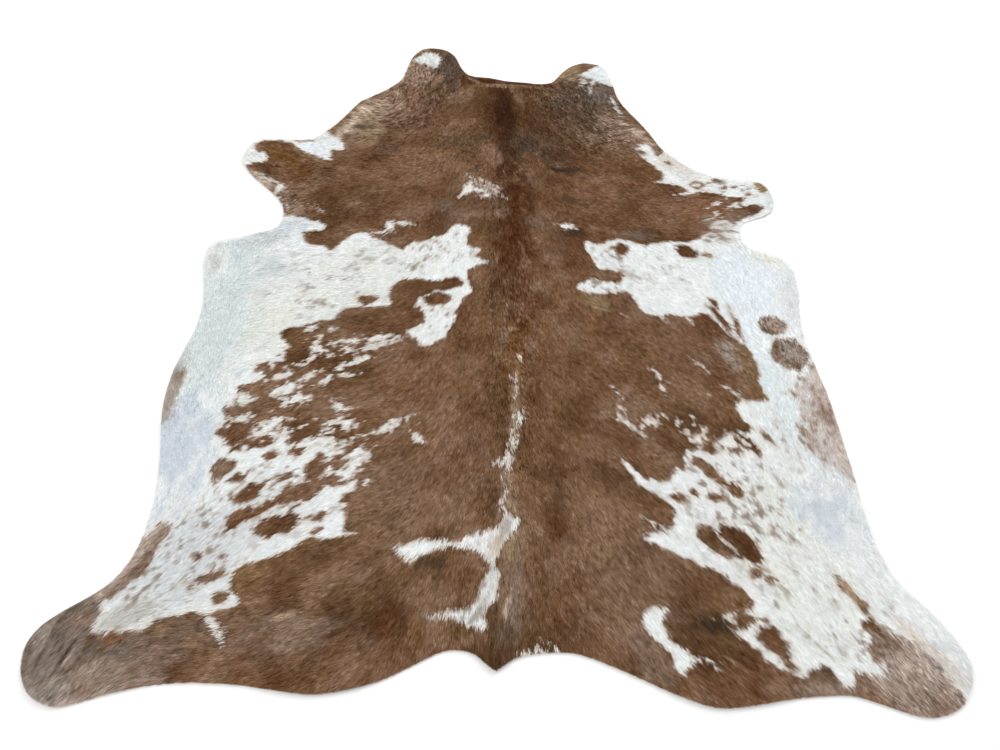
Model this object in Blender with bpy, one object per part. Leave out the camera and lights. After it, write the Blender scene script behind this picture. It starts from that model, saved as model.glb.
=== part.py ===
"""Cowhide rug: one natural hide, hair side up, lying on the floor.

Metres, +Z up, +Y from the tail to the neck, +X to the right of someone who stands at the tail.
The origin is on the floor, in the middle of the hide's length and width.

The hide is one closed sheet. Its plan is a four-sided patch between the two flanks, the tail
edge and the neck edge. Low ridges lift it where the skin stands off the floor, and the lying
coat makes it thicker inside the rim.
"""

import bpy
import numpy as np

WIDTH = 1.95  # across the hind legs
LENGTH = 2.32  # from the ears to the hind legs
LEATHER = 0.003  # the tanned skin, as it shows at the cut edge
COAT = 0.0045  # the lying hair on top of the skin, away from the edge
COAT_RISE = 0.06  # how far in from the edge the coat has its full depth
STEPS = 2  # stretches of edge between one landmark and the next
EVENING_ROUNDS = 200  # rounds that even the inner points of the plan's grid

# Landmarks up both flanks, from the hind legs to the ears. Each row is one pair of them.
# where, left across, left along, right across, right along
FLANKS = (
    ("hind leg tip", -0.972, -1.045, 0.971, -1.065),
    ("hind leg, upper edge", -0.958, -0.985, 0.950, -0.990),
    ("hind leg root", -0.893, -0.935, 0.905, -0.925),
    ("hock", -0.835, -0.885, 0.867, -0.868),
    ("hind flank", -0.800, -0.810, 0.848, -0.775),
    ("flank hollow", -0.796, -0.690, 0.850, -0.665),
    ("flank", -0.815, -0.560, 0.849, -0.545),
    ("belly", -0.842, -0.430, 0.846, -0.410),
    ("belly, widest", -0.842, -0.310, 0.834, -0.285),
    ("belly, fore", -0.819, -0.180, 0.830, -0.175),
    ("brisket", -0.822, -0.055, 0.848, -0.065),
    ("brisket flap", -0.851, 0.065, 0.854, 0.025),
    ("flap corner", -0.842, 0.138, 0.828, 0.080),
    ("flap, upper edge", -0.770, 0.165, 0.772, 0.110),
    ("below the armpit", -0.698, 0.186, 0.738, 0.130),
    ("armpit", -0.655, 0.220, 0.725, 0.175),
    ("above the armpit", -0.657, 0.295, 0.747, 0.227),
    ("foreleg, lower edge", -0.707, 0.368, 0.800, 0.250),
    ("foreleg, lower corner", -0.768, 0.430, 0.845, 0.282),
    ("foreleg tip", -0.822, 0.515, 0.855, 0.340),
    ("foreleg, upper corner", -0.808, 0.602, 0.828, 0.404),
    ("foreleg, upper edge", -0.738, 0.626, 0.748, 0.423),
    ("foreleg root", -0.638, 0.622, 0.662, 0.444),
    ("shoulder", -0.562, 0.664, 0.588, 0.503),
    ("neck root", -0.510, 0.748, 0.540, 0.573),
    ("neck", -0.463, 0.832, 0.510, 0.652),
    ("cheek", -0.400, 0.892, 0.474, 0.728),
    ("jaw", -0.347, 0.953, 0.436, 0.802),
    ("ear root", -0.328, 1.025, 0.414, 0.885),
    ("ear, outer edge", -0.314, 1.095, 0.407, 0.960),
    ("ear, outer corner", -0.282, 1.147, 0.388, 1.025),
)

# Landmarks along both ends, from left to right, between the first and the last pair above.
# tail edge across, tail edge along, neck edge across, neck edge along
ENDS = (
    (-0.940, -1.110, -0.235, 1.156),
    (-0.872, -1.141, -0.188, 1.141),
    (-0.772, -1.115, -0.155, 1.098),
    (-0.650, -1.096, -0.135, 1.040),
    (-0.510, -1.100, -0.107, 0.992),
    (-0.365, -1.118, -0.070, 0.971),
    (-0.230, -1.090, -0.033, 0.965),
    (-0.110, -1.034, 0.000, 0.953),
    (-0.040, -1.041, 0.030, 0.942),
    (0.000, -1.072, 0.066, 0.936),
    (0.045, -1.046, 0.106, 0.931),
    (0.165, -1.038, 0.150, 0.923),
    (0.300, -1.090, 0.195, 0.941),
    (0.440, -1.143, 0.232, 0.998),
    (0.590, -1.127, 0.272, 1.042),
    (0.720, -1.121, 0.316, 1.060),
    (0.845, -1.160, 0.353, 1.053),
    (0.930, -1.137, 0.374, 1.040),
)

# Broad ridges where the skin stands off the floor, each round about a line.
# where, from across, from along, to across, to along, half width, height
RIDGES = (
    ("spine, shoulders", 0.025, 0.84, 0.035, 0.05, 0.045, 0.0040),
    ("spine, back", 0.045, 0.00, 0.040, -0.60, 0.045, 0.0030),
    ("spine, rump", 0.025, -0.70, 0.005, -1.00, 0.055, 0.0055),
    ("neck edge roll", -0.060, 0.935, 0.140, 0.912, 0.040, 0.0080),
    ("left cheek edge", -0.480, 0.800, -0.560, 0.675, 0.040, 0.0090),
    ("right shoulder edge", 0.575, 0.520, 0.660, 0.450, 0.040, 0.0050),
    ("left foreleg tip", -0.800, 0.580, -0.815, 0.520, 0.050, 0.0050),
    ("right foreleg tip", 0.845, 0.370, 0.840, 0.300, 0.050, 0.0050),
    ("left armpit", -0.700, 0.165, -0.625, 0.090, 0.045, 0.0060),
    ("right armpit", 0.700, 0.195, 0.630, 0.125, 0.045, 0.0060),
    ("left flap", -0.805, 0.110, -0.785, -0.040, 0.045, 0.0055),
    ("right flap", 0.790, 0.060, 0.820, -0.060, 0.045, 0.0045),
    ("left flank hollow", -0.790, -0.480, -0.690, -0.640, 0.050, 0.0045),
    ("right flank hollow", 0.700, -0.660, 0.815, -0.770, 0.050, 0.0045),
    ("left hind leg", -0.890, -0.985, -0.915, -1.100, 0.050, 0.0070),
    ("right hind leg", 0.850, -1.020, 0.930, -1.080, 0.050, 0.0050),
    ("left thigh edge", -0.420, -1.095, -0.300, -1.095, 0.050, 0.0040),
    ("right thigh edge", 0.400, -1.115, 0.520, -1.120, 0.050, 0.0040),
    ("tail", 0.000, -1.035, 0.000, -1.065, 0.040, 0.0050),
)


def smooth_loop(points, steps):
    """Closed Catmull-Rom curve: cubics through the landmarks, headed at each from its last to its next."""
    before, after, beyond = (np.roll(points, shift, axis=0) for shift in (1, -1, -2))
    stretches = []
    for step in range(steps):
        t = step / steps
        stretches.append(
            points
            + 0.5 * t * (after - before)
            + 0.5 * t**2 * (2 * before - 5 * points + 4 * after - beyond)
            + 0.5 * t**3 * (3 * points - before - 3 * after + beyond)
        )
    return np.stack(stretches, axis=1).reshape(-1, 2)


def hide_edges():
    """The four sides of the plan: both flanks from hind leg to ear, both ends from left to right."""
    flanks = np.array([row[1:] for row in FLANKS])
    ends = np.array(ENDS)
    left, right, tail, neck = flanks[:, :2], flanks[:, 2:], ends[:, :2], ends[:, 2:]
    loop = smooth_loop(np.concatenate([left, neck, right[::-1], tail[::-1]]), STEPS)
    loop = np.append(loop, loop[:1], axis=0)
    along = (len(left) - 1) * STEPS
    across = (len(neck) + 1) * STEPS
    starts = (0, along, along + across, 2 * along + across)
    left_side, neck_edge, right_side, tail_edge = (
        loop[start : start + count + 1] for start, count in zip(starts, (along, across, along, across))
    )
    return left_side, right_side[::-1], tail_edge[::-1], neck_edge


def four_sided_patch(left, right, tail, neck):
    """Coons patch: the flanks joined across, plus the ends joined along, less the corners counted twice."""
    v = np.linspace(0, 1, len(left))[:, None, None]
    u = np.linspace(0, 1, len(tail))[None, :, None]
    across = (1 - u) * left[:, None] + u * right[:, None]
    along = (1 - v) * tail[None] + v * neck[None]
    low, high = ((1 - u) * end[0] + u * end[-1] for end in (tail, neck))
    corners = (1 - v) * low + v * high
    return across + along - corners


def evened(plan, rounds):
    """The plan with its inner points moved so that its two sets of lines cross without folding over.

    Each round solves the grid equation a*P_uu - 2*b*P_uv + c*P_vv = 0 one step further, where
    a = |P_v|^2, b = P_u.P_v and c = |P_u|^2. Its lines never fold, however deep the outline's bays.
    """
    plan = plan.copy()
    for _ in range(rounds):
        east, west = plan[1:-1, 2:], plan[1:-1, :-2]
        north, south = plan[2:, 1:-1], plan[:-2, 1:-1]
        along_u, along_v = (east - west) / 2, (north - south) / 2
        twist = (plan[2:, 2:] - plan[2:, :-2] - plan[:-2, 2:] + plan[:-2, :-2]) / 4
        a = (along_v**2).sum(axis=-1, keepdims=True)
        b = (along_u * along_v).sum(axis=-1, keepdims=True)
        c = (along_u**2).sum(axis=-1, keepdims=True)
        plan[1:-1, 1:-1] = (a * (east + west) + c * (north + south) - 2 * b * twist) / (2 * (a + c))
    return plan


def smooth_step(share):
    """0 below 0, 1 above 1, and an S curve between them."""
    share = np.clip(share, 0, 1)
    return share * share * (3 - 2 * share)


def floor_gap(plan):
    """How far the underside stands off the floor: a bell-shaped ridge about each line of RIDGES."""
    gap = np.zeros(plan.shape[:-1])
    for _, x0, y0, x1, y1, half_width, height in RIDGES:
        start, run = np.array([x0, y0]), np.array([x1 - x0, y1 - y0])
        share = np.clip((plan - start) @ run / (run @ run), 0, 1)
        reach = np.linalg.norm(plan - start - share[..., None] * run, axis=-1) / (2 * half_width)
        gap = np.maximum(gap, height * (1 - smooth_step(reach)))
    return gap


def coat_depth(plan, rim):
    """The lying hair's depth: none at the cut edge and all of it COAT_RISE further in."""
    to_rim = np.linalg.norm(plan[:, :, None] - rim, axis=-1).min(axis=-1)
    return COAT * smooth_step(to_rim / COAT_RISE)


def fitted(plan):
    """The plan, centred on the origin and brought to WIDTH and LENGTH."""
    low, high = plan.min(axis=(0, 1)), plan.max(axis=(0, 1))
    return (plan - (low + high) / 2) * np.array([WIDTH, LENGTH]) / (high - low)


def sheet_faces(rows, columns):
    """Quads of a closed sheet: the upper grid, the under grid turned over, and a wall round the rim."""
    upper = np.arange(rows * columns).reshape(rows, columns)
    under = upper + rows * columns
    corners = (upper[:-1, :-1], upper[:-1, 1:], upper[1:, 1:], upper[1:, :-1])
    top = np.stack(corners, axis=-1).reshape(-1, 4)
    bottom = top[:, ::-1] + rows * columns
    rim = np.concatenate([upper[0, :-1], upper[:-1, -1], upper[-1, :0:-1], upper[:0:-1, 0]])
    onward = np.roll(rim, -1)
    shift = under[0, 0]
    wall = np.stack([rim + shift, onward + shift, onward, rim], axis=-1)
    return np.concatenate([top, bottom, wall])


def hide_material():
    """Short hair, mostly a dull chestnut brown."""
    material = bpy.data.materials.new("hide")
    material.use_nodes = True
    shader = material.node_tree.nodes["Principled BSDF"]
    shader.inputs["Base Color"].default_value = (0.235, 0.125, 0.070, 1.0)
    shader.inputs["Roughness"].default_value = 0.75
    shader.inputs["Metallic"].default_value = 0.0
    return material


def make_hide():
    """The hide: its plan, the gap under it, the skin and the lying coat, closed into one solid."""
    left, right, tail, neck = hide_edges()
    plan = evened(four_sided_patch(left, right, tail, neck), EVENING_ROUNDS)
    rim = np.concatenate([left, right, tail, neck])
    under_height = floor_gap(plan)
    upper_height = under_height + LEATHER + coat_depth(plan, rim)
    place = fitted(plan)
    upper = np.dstack([place, upper_height]).reshape(-1, 3)
    under = np.dstack([place, under_height]).reshape(-1, 3)
    rows, columns = plan.shape[:2]
    mesh = bpy.data.meshes.new("hide")
    mesh.from_pydata(np.concatenate([upper, under]).tolist(), [], sheet_faces(rows, columns).tolist())
    mesh.materials.append(hide_material())
    mesh.shade_smooth()
    mesh.set_sharp_from_angle(angle=np.radians(40))
    hide = bpy.data.objects.new("hide", mesh)
    bpy.context.collection.objects.link(hide)
    return hide


for old in list(bpy.data.objects):
    bpy.data.objects.remove(old, do_unlink=True)
make_hide()
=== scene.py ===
# %% [markdown]
# # A cowhide rug, hair side up
# A hide rug is one skin, tanned with its hair on. What the eye reads is the coat: thousands of short
# hairs that lie one way and change direction over the shoulders and flanks, and the markings that
# they carry. So most of this lesson is about three maps of one flat piece: which way the hair lies,
# where it is brown or white, and how the skin buckles.
#
# The frame holds the hide as a plain solid. It is loaded first, because every piece is fitted to it.

import bmesh
import bpy
import numpy as np
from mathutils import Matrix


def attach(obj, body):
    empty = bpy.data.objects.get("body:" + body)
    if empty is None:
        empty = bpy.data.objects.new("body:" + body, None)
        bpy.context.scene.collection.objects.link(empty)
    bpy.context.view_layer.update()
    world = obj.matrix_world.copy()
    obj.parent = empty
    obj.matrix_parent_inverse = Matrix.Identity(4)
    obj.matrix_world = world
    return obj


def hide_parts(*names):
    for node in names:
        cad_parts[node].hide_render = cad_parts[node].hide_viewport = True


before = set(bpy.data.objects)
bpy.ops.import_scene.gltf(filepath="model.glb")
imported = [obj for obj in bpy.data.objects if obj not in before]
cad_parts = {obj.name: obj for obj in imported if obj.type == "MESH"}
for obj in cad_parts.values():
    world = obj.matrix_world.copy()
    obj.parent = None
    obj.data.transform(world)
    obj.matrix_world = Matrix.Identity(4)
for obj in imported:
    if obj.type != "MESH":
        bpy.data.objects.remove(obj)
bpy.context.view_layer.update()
hide_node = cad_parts["hide"]

# %% [markdown]
# ## The cut edge
# The tanner trims the hide to a wavy outline with legs, ears and a tail stub. That outline is already
# in the solid, so it is read from there and not drawn twice. The solid's mesh is loose triangles, so a
# copy is merged first. A rim edge is one that a single face looking up uses, and each leads to the next.

# %% Read the rim from the solid
MERGE = 1e-5  # corners nearer than this are one corner


def cut_edge(node):
    """The rim's corners in order, anticlockwise from above, walked from edge to edge."""
    mesh = bmesh.new()
    mesh.from_mesh(node.data)
    bmesh.ops.remove_doubles(mesh, verts=mesh.verts, dist=MERGE)
    mesh.normal_update()
    onward = {}
    for edge in mesh.edges:
        upward = [face for face in edge.link_faces if face.normal.z > 0.5]
        if len(upward) == 1:
            side = next(loop for loop in upward[0].loops if loop.edge == edge)
            onward[side.vert.index] = side.link_loop_next.vert.index
    places = np.array([vert.co.xy for vert in mesh.verts])
    mesh.free()
    walk = [next(iter(onward))]
    while onward[walk[-1]] != walk[0]:
        walk.append(onward[walk[-1]])
    return places[walk]


def smooth_loop(points, steps):
    """Closed Catmull-Rom curve: cubics through the points, headed at each from its last to its next."""
    points = np.asarray(points, float)
    before, after, beyond = (np.roll(points, shift, axis=0) for shift in (1, -1, -2))
    t = (np.arange(steps) / steps)[None, :, None]
    start, ahead, bend, twist = (
        points[:, None],
        0.5 * (after - before)[:, None],
        (before - 2.5 * points + 2 * after - 0.5 * beyond)[:, None],
        0.5 * (3 * points - before - 3 * after + beyond)[:, None],
    )
    return (start + ahead * t + bend * t**2 + twist * t**3).reshape(-1, 2)


rim = smooth_loop(cut_edge(hide_node), 4)
rim_length = np.linalg.norm(np.roll(rim, -1, axis=0) - rim, axis=1).sum()
print(f"rim: {len(rim)} points, {rim_length:.2f} m round")

# %% [markdown]
# ## A chart to draw on
# Markings, lay and folds are all drawn in plan, as seen from above. The chart is a grid of small
# square cells over the whole hide. Each property is an array with one value a cell, so it can be
# blurred, combed and added up in one line, and any hair reads its own value from it.

# %% The chart
CM = 0.01  # metres
CELL = 0.0025  # metres
LOW = np.array([-1.03, -1.22])
COLUMNS, ROWS = 826, 977
REACH = 0.08  # depths are counted no further than this from an edge
chart_x = LOW[0] + CELL * np.arange(COLUMNS)
chart_y = LOW[1] + CELL * np.arange(ROWS)
chart_plan = np.stack(np.meshgrid(chart_x, chart_y), axis=-1)


def read_chart(chart, plan):
    """Reads a chart at any places: the four cells round each one, weighted by how near they are."""
    place = np.clip((plan - LOW) / CELL, 0, [COLUMNS - 1.001, ROWS - 1.001])
    corner = place.astype(int)
    share = (place - corner).reshape(plan.shape[:-1] + (1,) * (chart.ndim - 2) + (2,))
    column, row = corner[..., 0], corner[..., 1]
    u, v = share[..., 0], share[..., 1]
    near = chart[row, column] * (1 - u) + chart[row, column + 1] * u
    far = chart[row + 1, column] * (1 - u) + chart[row + 1, column + 1] * u
    return near * (1 - v) + far * v


def window(low, high):
    """The cells of the chart from one corner of a box to the other."""
    first = np.clip(np.floor((np.asarray(low) - LOW) / CELL).astype(int), 0, [COLUMNS, ROWS])
    last = np.clip(np.ceil((np.asarray(high) - LOW) / CELL).astype(int) + 1, 0, [COLUMNS, ROWS])
    return np.s_[first[1] : last[1], first[0] : last[0]]


def smooth_rise(values, low, high):
    """0 below the low level, 1 above the high one, and an S curve, 3t^2 - 2t^3, between them."""
    share = np.clip((values - low) / (high - low), 0, 1)
    return share * share * (3 - 2 * share)


print(f"chart: {COLUMNS} x {ROWS} cells of {CELL * 1000:.1f} mm")

# %% [markdown]
# ## Outlines and ovals
# Two kinds of shape draw every marking. A big patch is a closed outline through a few points. A small
# patch, a streak or a soft shade is an oval, with a middle, a length, a width and a heading. Both give
# a depth, the distance to the edge, which is positive inside. Depths can be joined and cut like cloth:
# the larger of two depths joins two patches, and the smaller of one and the other's negative cuts it.

# %% Depth inside outlines and ovals
OVAL_REACH, OVAL_FRINGE = 1.2, 0.02  # an oval is felt to 1.2 of its half length, and 2 cm more


def outline_depth(outline):
    """A chart of how deep each cell lies inside a closed outline, negative outside.

    Each side measures the cells near it and keeps the least distance. A cell is inside when a line
    from it to the right crosses an odd number of sides.
    """
    nearest = np.full((ROWS, COLUMNS), REACH)
    inside = np.zeros((ROWS, COLUMNS), bool)
    for start, end in zip(outline, np.roll(outline, -1, axis=0)):
        near = window(np.minimum(start, end) - REACH, np.maximum(start, end) + REACH)
        offset, run = chart_plan[near] - start, end - start
        share = np.clip(offset @ run / max(run @ run, 1e-12), 0, 1)
        away = np.linalg.norm(offset - share[..., None] * run, axis=-1)
        nearest[near] = np.minimum(nearest[near], away)
        level = (chart_y >= min(start[1], end[1])) & (chart_y < max(start[1], end[1]))
        crossing = start[0] + (chart_y[level] - start[1]) * run[0] / (run[1] or 1)
        inside[level] ^= chart_x[None] < crossing[:, None]
    return np.where(inside, nearest, -nearest)


def oval_share(x, y, length, width, heading, bulge=2.0):
    """Where an oval can be felt, and there the distance from its middle, which is 1 on its edge.

    Sizes are in centimetres. The heading is in degrees, anticlockwise from the right. The bulge is
    the power in |along|^p + |across|^p = 1: at 2 that is an ellipse, and nearer 1 its ends are pointed.
    """
    middle = np.array([x, y]) * CM
    turn = np.radians(heading)
    forward, side = np.array([np.cos(turn), np.sin(turn)]), np.array([-np.sin(turn), np.cos(turn)])
    reach = max(length, width) / 2 * CM * OVAL_REACH + OVAL_FRINGE
    near = window(middle - reach, middle + reach)
    offset = chart_plan[near] - middle
    along, across = offset @ forward / (length / 2 * CM), offset @ side / (width / 2 * CM)
    return near, (np.abs(along) ** bulge + np.abs(across) ** bulge) ** (1 / bulge)


def ovals_depth(ovals, bulge=2.0):
    """A chart of the depth inside the nearest of several ovals, negative outside all of them."""
    depth = np.full((ROWS, COLUMNS), -REACH)
    for x, y, length, width, heading in ovals:
        near, share = oval_share(x, y, length, width, heading, bulge)
        depth[near] = np.maximum(depth[near], (1 - share) * min(length, width) / 2 * CM)
    return depth


rim_depth = outline_depth(rim)
print(f"flat area inside the rim: {(rim_depth > 0).sum() * CELL**2:.2f} square metres")

# %% [markdown]
# ## Soft noise
# Nothing on a hide is even, so every shape is roughened a little. Soft noise is random numbers, one a
# cell, blurred until its blots have the size wanted, and scaled so that its usual swing is 1.
# The seed is fixed, so the rug comes out the same each time.

# %% Noise on the chart
def soft_noise(blot, seed):
    """Random cells blurred by a bell of that size, done as a product of waves, with spread 1."""
    cells = np.random.default_rng(seed).standard_normal((ROWS, COLUMNS))
    wave = np.hypot(np.fft.fftfreq(ROWS, CELL)[:, None], np.fft.rfftfreq(COLUMNS, CELL)[None])
    soft = np.fft.irfft2(np.fft.rfft2(cells) * np.exp(-2 * (np.pi * blot * wave) ** 2), s=cells.shape)
    return soft / soft.std()


print("noise fills", ROWS * COLUMNS, "cells")

# %% [markdown]
# ## The lay of the hair
# Hair on a hide streams from the neck along the spine and down both sides, and it fans out over the
# legs. Combing a particle system by hand would hide those directions in a brush stroke, so they are
# written in a table instead: a few arrows, each with the heading of the hair there. Every cell takes
# a blend of them in which near arrows count most.

# %% Arrows for the lay
# where, x and y in centimetres, heading in degrees anticlockwise from the right
LAY = (
    ("poll", 0, 95, -90),
    ("left ear root", -22, 96, -98),
    ("left ear", -25, 110, -95),
    ("right ear", 30, 102, 20),
    ("right ear root", 30, 86, -86),
    ("left cheek", -43, 80, 165),
    ("left cheek, low", -40, 69, 200),
    ("right cheek", 45, 67, -8),
    ("right cheek, low", 40, 58, -42),
    ("left neck, upper", -32, 87, -98),
    ("left neck", -24, 73, -116),
    ("right neck", 27, 73, -68),
    ("withers, left", -8, 60, -100),
    ("withers, right", 10, 60, -80),
    ("left shoulder", -40, 50, 195),
    ("left foreleg", -72, 52, 170),
    ("left armpit", -60, 25, 215),
    ("right shoulder", 30, 55, -45),
    ("right shoulder, low", 30, 30, -40),
    ("right foreleg root", 65, 32, -5),
    ("right foreleg", 80, 34, 0),
    ("back, left", -8, 20, -105),
    ("back, right", 10, 20, -75),
    ("loin, left", -8, -30, -110),
    ("loin, right", 10, -30, -70),
    ("rump, left", -8, -70, -110),
    ("rump, right", 10, -70, -70),
    ("tail", 0, -104, -90),
    ("left flap", -78, 8, -78),
    ("left side", -45, 5, 204),
    ("left side, outer", -64, 2, 206),
    ("left belly edge, fore", -76, -20, -70),
    ("left belly edge", -76, -40, -70),
    ("left flank hollow", -74, -58, -75),
    ("left body, fore", -40, -20, 203),
    ("left body, outer", -64, -24, 206),
    ("left body", -40, -45, 205),
    ("left body, low outer", -63, -46, 209),
    ("left body, rear", -35, -70, 208),
    ("left flank", -55, -60, 213),
    ("left thigh, upper", -65, -80, 235),
    ("left thigh", -45, -95, 205),
    ("left thigh, outer", -65, -100, 195),
    ("left hind leg", -90, -102, 240),
    ("right side", 50, 5, -50),
    ("right flap", 80, 0, -95),
    ("right body, fore", 35, -30, -50),
    ("right body, outer", 60, -30, -55),
    ("right body", 35, -60, -48),
    ("right belly edge", 80, -40, -95),
    ("right flank hollow", 78, -72, -85),
    ("right thigh, upper", 60, -90, -55),
    ("right thigh", 30, -98, -60),
    ("right thigh, outer", 50, -108, -50),
    ("right hind leg root", 78, -90, -60),
    ("right hind leg", 86, -105, -64),
)
LAY_NEAR = 0.05  # arrows nearer than this blend evenly
LAY_FALL = 1.6  # the pull of an arrow falls with this power of the squared distance

arrows = np.array([row[1:3] for row in LAY]) * CM
headings = np.radians([row[3] for row in LAY])
lay = np.zeros((ROWS, COLUMNS, 2))
for arrow, heading in zip(arrows, headings):
    nearness = (((chart_plan - arrow) ** 2).sum(axis=-1) + LAY_NEAR**2) ** -LAY_FALL
    lay += nearness[..., None] * np.array([np.cos(heading), np.sin(heading)])
lay /= np.linalg.norm(lay, axis=-1, keepdims=True)
print("lay drawn from", len(LAY), "arrows")

# %% [markdown]
# ## Combing
# Streaks, frayed edges and speckles on a coat all run with the hair. Combing gives them that grain: a
# chart of noise is dragged along the lay, so that each cell becomes the mean of the cells up and down
# the hair from it. Blots turn into strokes.

# %% Comb noise along the lay
COMB_STEP = 0.003  # metres
GRAIN_BLOTS = (0.0018, 0.0032, 0.007, 0.020)  # metres
GRAIN_LENGTHS = (0.008, 0.018, 0.040, 0.084)  # metres along the hair


def combed(charts, lengths):
    """The charts dragged along the lay, each half its length each way, with mean 0 and spread 1."""
    totals = [chart.copy() for chart in charts]
    for way in (COMB_STEP, -COMB_STEP):
        place = chart_plan.copy()
        for step in range(1, round(max(lengths) / 2 / COMB_STEP) + 1):
            place += way * read_chart(lay, place)
            for total, chart, length in zip(totals, charts, lengths):
                if step * COMB_STEP <= length / 2:
                    total += read_chart(chart, place)
    return [(total - total.mean()) / total.std() for total in totals]


hair_grain, fine_grain, coarse_grain, broad_grain = combed(
    [soft_noise(blot, seed) for seed, blot in enumerate(GRAIN_BLOTS)], GRAIN_LENGTHS
)


def grains(hair=0, fine=0, coarse=0, broad=0):
    """The four sizes of grain added up, each with its own weight."""
    return hair * hair_grain + fine * fine_grain + coarse * coarse_grain + broad * broad_grain


print("four sizes of grain combed")

# %% [markdown]
# ## The big markings
# The ground of this coat is white. A brown saddle covers the neck, shoulders, back and rump, and a
# brown patch lies on the left flank. Each is an outline with a point every few centimetres. Where a
# patch runs over the rim its outline passes outside the hide, because the rim cuts it anyway. White is
# cut out of the brown again: a fork on the rump, a hook on the right thigh and the tips of the ears.
# The belly edge on the right is a patch of thin dusky hair, so it is kept apart for the colours.

# %% Outlines of the brown and white patches
# x and y in centimetres
SHOULDERS = (
    (-45, 125), (45, 125), (62, 82), (55, 58), (52, 54), (50.2, 58.5), (47.5, 60.8), (45, 57.5),
    (47.3, 53), (50.3, 49.3), (53, 43.3), (49.3, 41.2), (55, 40), (59, 38), (59.5, 36.2), (66, 37.2),
    (70, 35), (76.3, 33.2), (74, 31.5), (81, 29.6), (79.5, 27), (73.5, 24.5), (71, 21), (69, 24),
    (64.8, 22.3), (61.5, 17.5), (58, 15.4), (47, 15.3), (42.5, 14.3), (37.5, 16.6), (33, 16.3),
    (30.5, 14.6), (26, 15.7), (25, 10.8), (18, 4), (-4.8, 8.5), (-4.2, 12.4), (-8.8, 15), (-6.9, 20.8),
    (-12, 23.2), (-13.8, 19.6), (-18.5, 17.1), (-25, 15.3), (-26.8, 12), (-29.5, 12.6), (-32.8, 15.6),
    (-36.4, 16.6), (-39, 19), (-43.5, 17.8), (-46, 14), (-47.6, 11.2), (-50, 13.5), (-54.6, 14.2),
    (-58.2, 18.9), (-51.3, 20.4), (-53, 24.2), (-60, 26), (-66, 28), (-84, 44), (-79, 50.6),
    (-74.6, 51.5), (-76, 55.5), (-79, 59), (-75.5, 61.4), (-68, 60.5), (-62.5, 56.5), (-56, 52.6),
    (-53, 51.5), (-54.3, 56.8), (-49.5, 57.8), (-53, 64), (-62, 70), (-56, 82), (-45, 100),
)
BACK = (
    (-5.5, 6), (-8, 1.2), (-6.9, -4), (-10, -7.5), (-10.8, -12.5), (-13.4, -18.5), (-15.5, -22),
    (-19.5, -23.6), (-21, -20.5), (-26, -22), (-31, -32), (-34, -45), (-33, -54), (-31, -58), (-34, -62),
    (-32.5, -66), (-36, -69), (-34.3, -71), (-34.6, -76.8), (-30.6, -77.2), (-37, -78.5), (-42, -78.3),
    (-46.5, -81.3), (-51, -83.1), (-56.4, -85.5), (-56.8, -90), (-54.2, -92.3), (-60, -95.2),
    (-69, -95.7), (-75, -98.6), (-82.6, -99.6), (-84.4, -97.2), (-84.6, -93.2), (-100, -85), (-110, -100),
    (-100, -125), (0, -125), (96, -122), (93.5, -112.5), (91, -105.4), (85.8, -100.6), (80.4, -97.2),
    (77.8, -97.8), (78, -101.3), (77.3, -103.5), (79.6, -108.2), (74.5, -106.8), (71, -110.5),
    (68.5, -106.2), (65, -106), (62, -108), (55.5, -104.8), (52.8, -101.8), (50.6, -99.4), (53.8, -98.6),
    (52.5, -96.2), (48.6, -95.4), (54.2, -94.9), (54.8, -91.5), (50.3, -86.9), (45, -84), (38.5, -81),
    (33.3, -77.4), (38.5, -76.4), (40.8, -74), (40.5, -70.5), (32.6, -63.8), (29.5, -57.6), (35.5, -63),
    (41.3, -63.2), (42.8, -59.8), (45, -61.3), (45.7, -55.8), (49.3, -54.3), (53, -53.5), (58.5, -50.6),
    (63.4, -49.9), (60.3, -43.8), (62, -41), (69.2, -40.6), (67.2, -36.2), (68.5, -30), (66.8, -23.6),
    (61.5, -16.2), (56, -11.6), (53, -13.3), (41, -12), (38.6, -8), (36, -4.6), (27.5, -4.8),
    (22.6, -2.7), (25.6, 0.3), (29, 0.5), (33, -1), (36.8, 1.4), (34, 3.8), (29, 4.4), (27.6, 9),
    (20, 15),
)
LEFT_FLANK = (
    (-9.6, -1.6), (-11.8, 1.5), (-18, 0), (-22.5, 0.8), (-27.5, -0.6), (-29.9, -4), (-30, -9.2),
    (-41, -10.9), (-44.2, -14), (-51.5, -16), (-58, -19.6), (-55.5, -23.5), (-57.5, -26), (-54.8, -28),
    (-61.5, -31), (-59.5, -33.5), (-66, -37), (-63, -39.5), (-69, -43.5), (-66, -46), (-69, -50.5),
    (-65.5, -51.5), (-66, -54), (-61, -53.5), (-56, -50), (-50.5, -50.5), (-51, -53.5), (-45, -52.5),
    (-40, -53), (-34, -57), (-27, -45), (-25, -28), (-22, -20.5), (-24.8, -18.3), (-19.6, -15.6),
    (-20.2, -10.6), (-23, -9), (-20.4, -5.8), (-16.5, -3.6), (-12, -3.4),
)
HOCK = (
    (-76, -73.8), (-73.4, -75.6), (-75.3, -80), (-76.3, -86), (-80, -89), (-82.3, -91.4), (-90, -93),
    (-92, -86), (-84, -79), (-78.5, -78),
)
BELLY_EDGE = (
    (88, -29), (82, -31), (78.6, -35), (76.4, -38), (77, -41), (76, -46), (75.6, -53), (77.6, -58),
    (80, -58.6), (82, -61), (88, -61.6),
)
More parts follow.
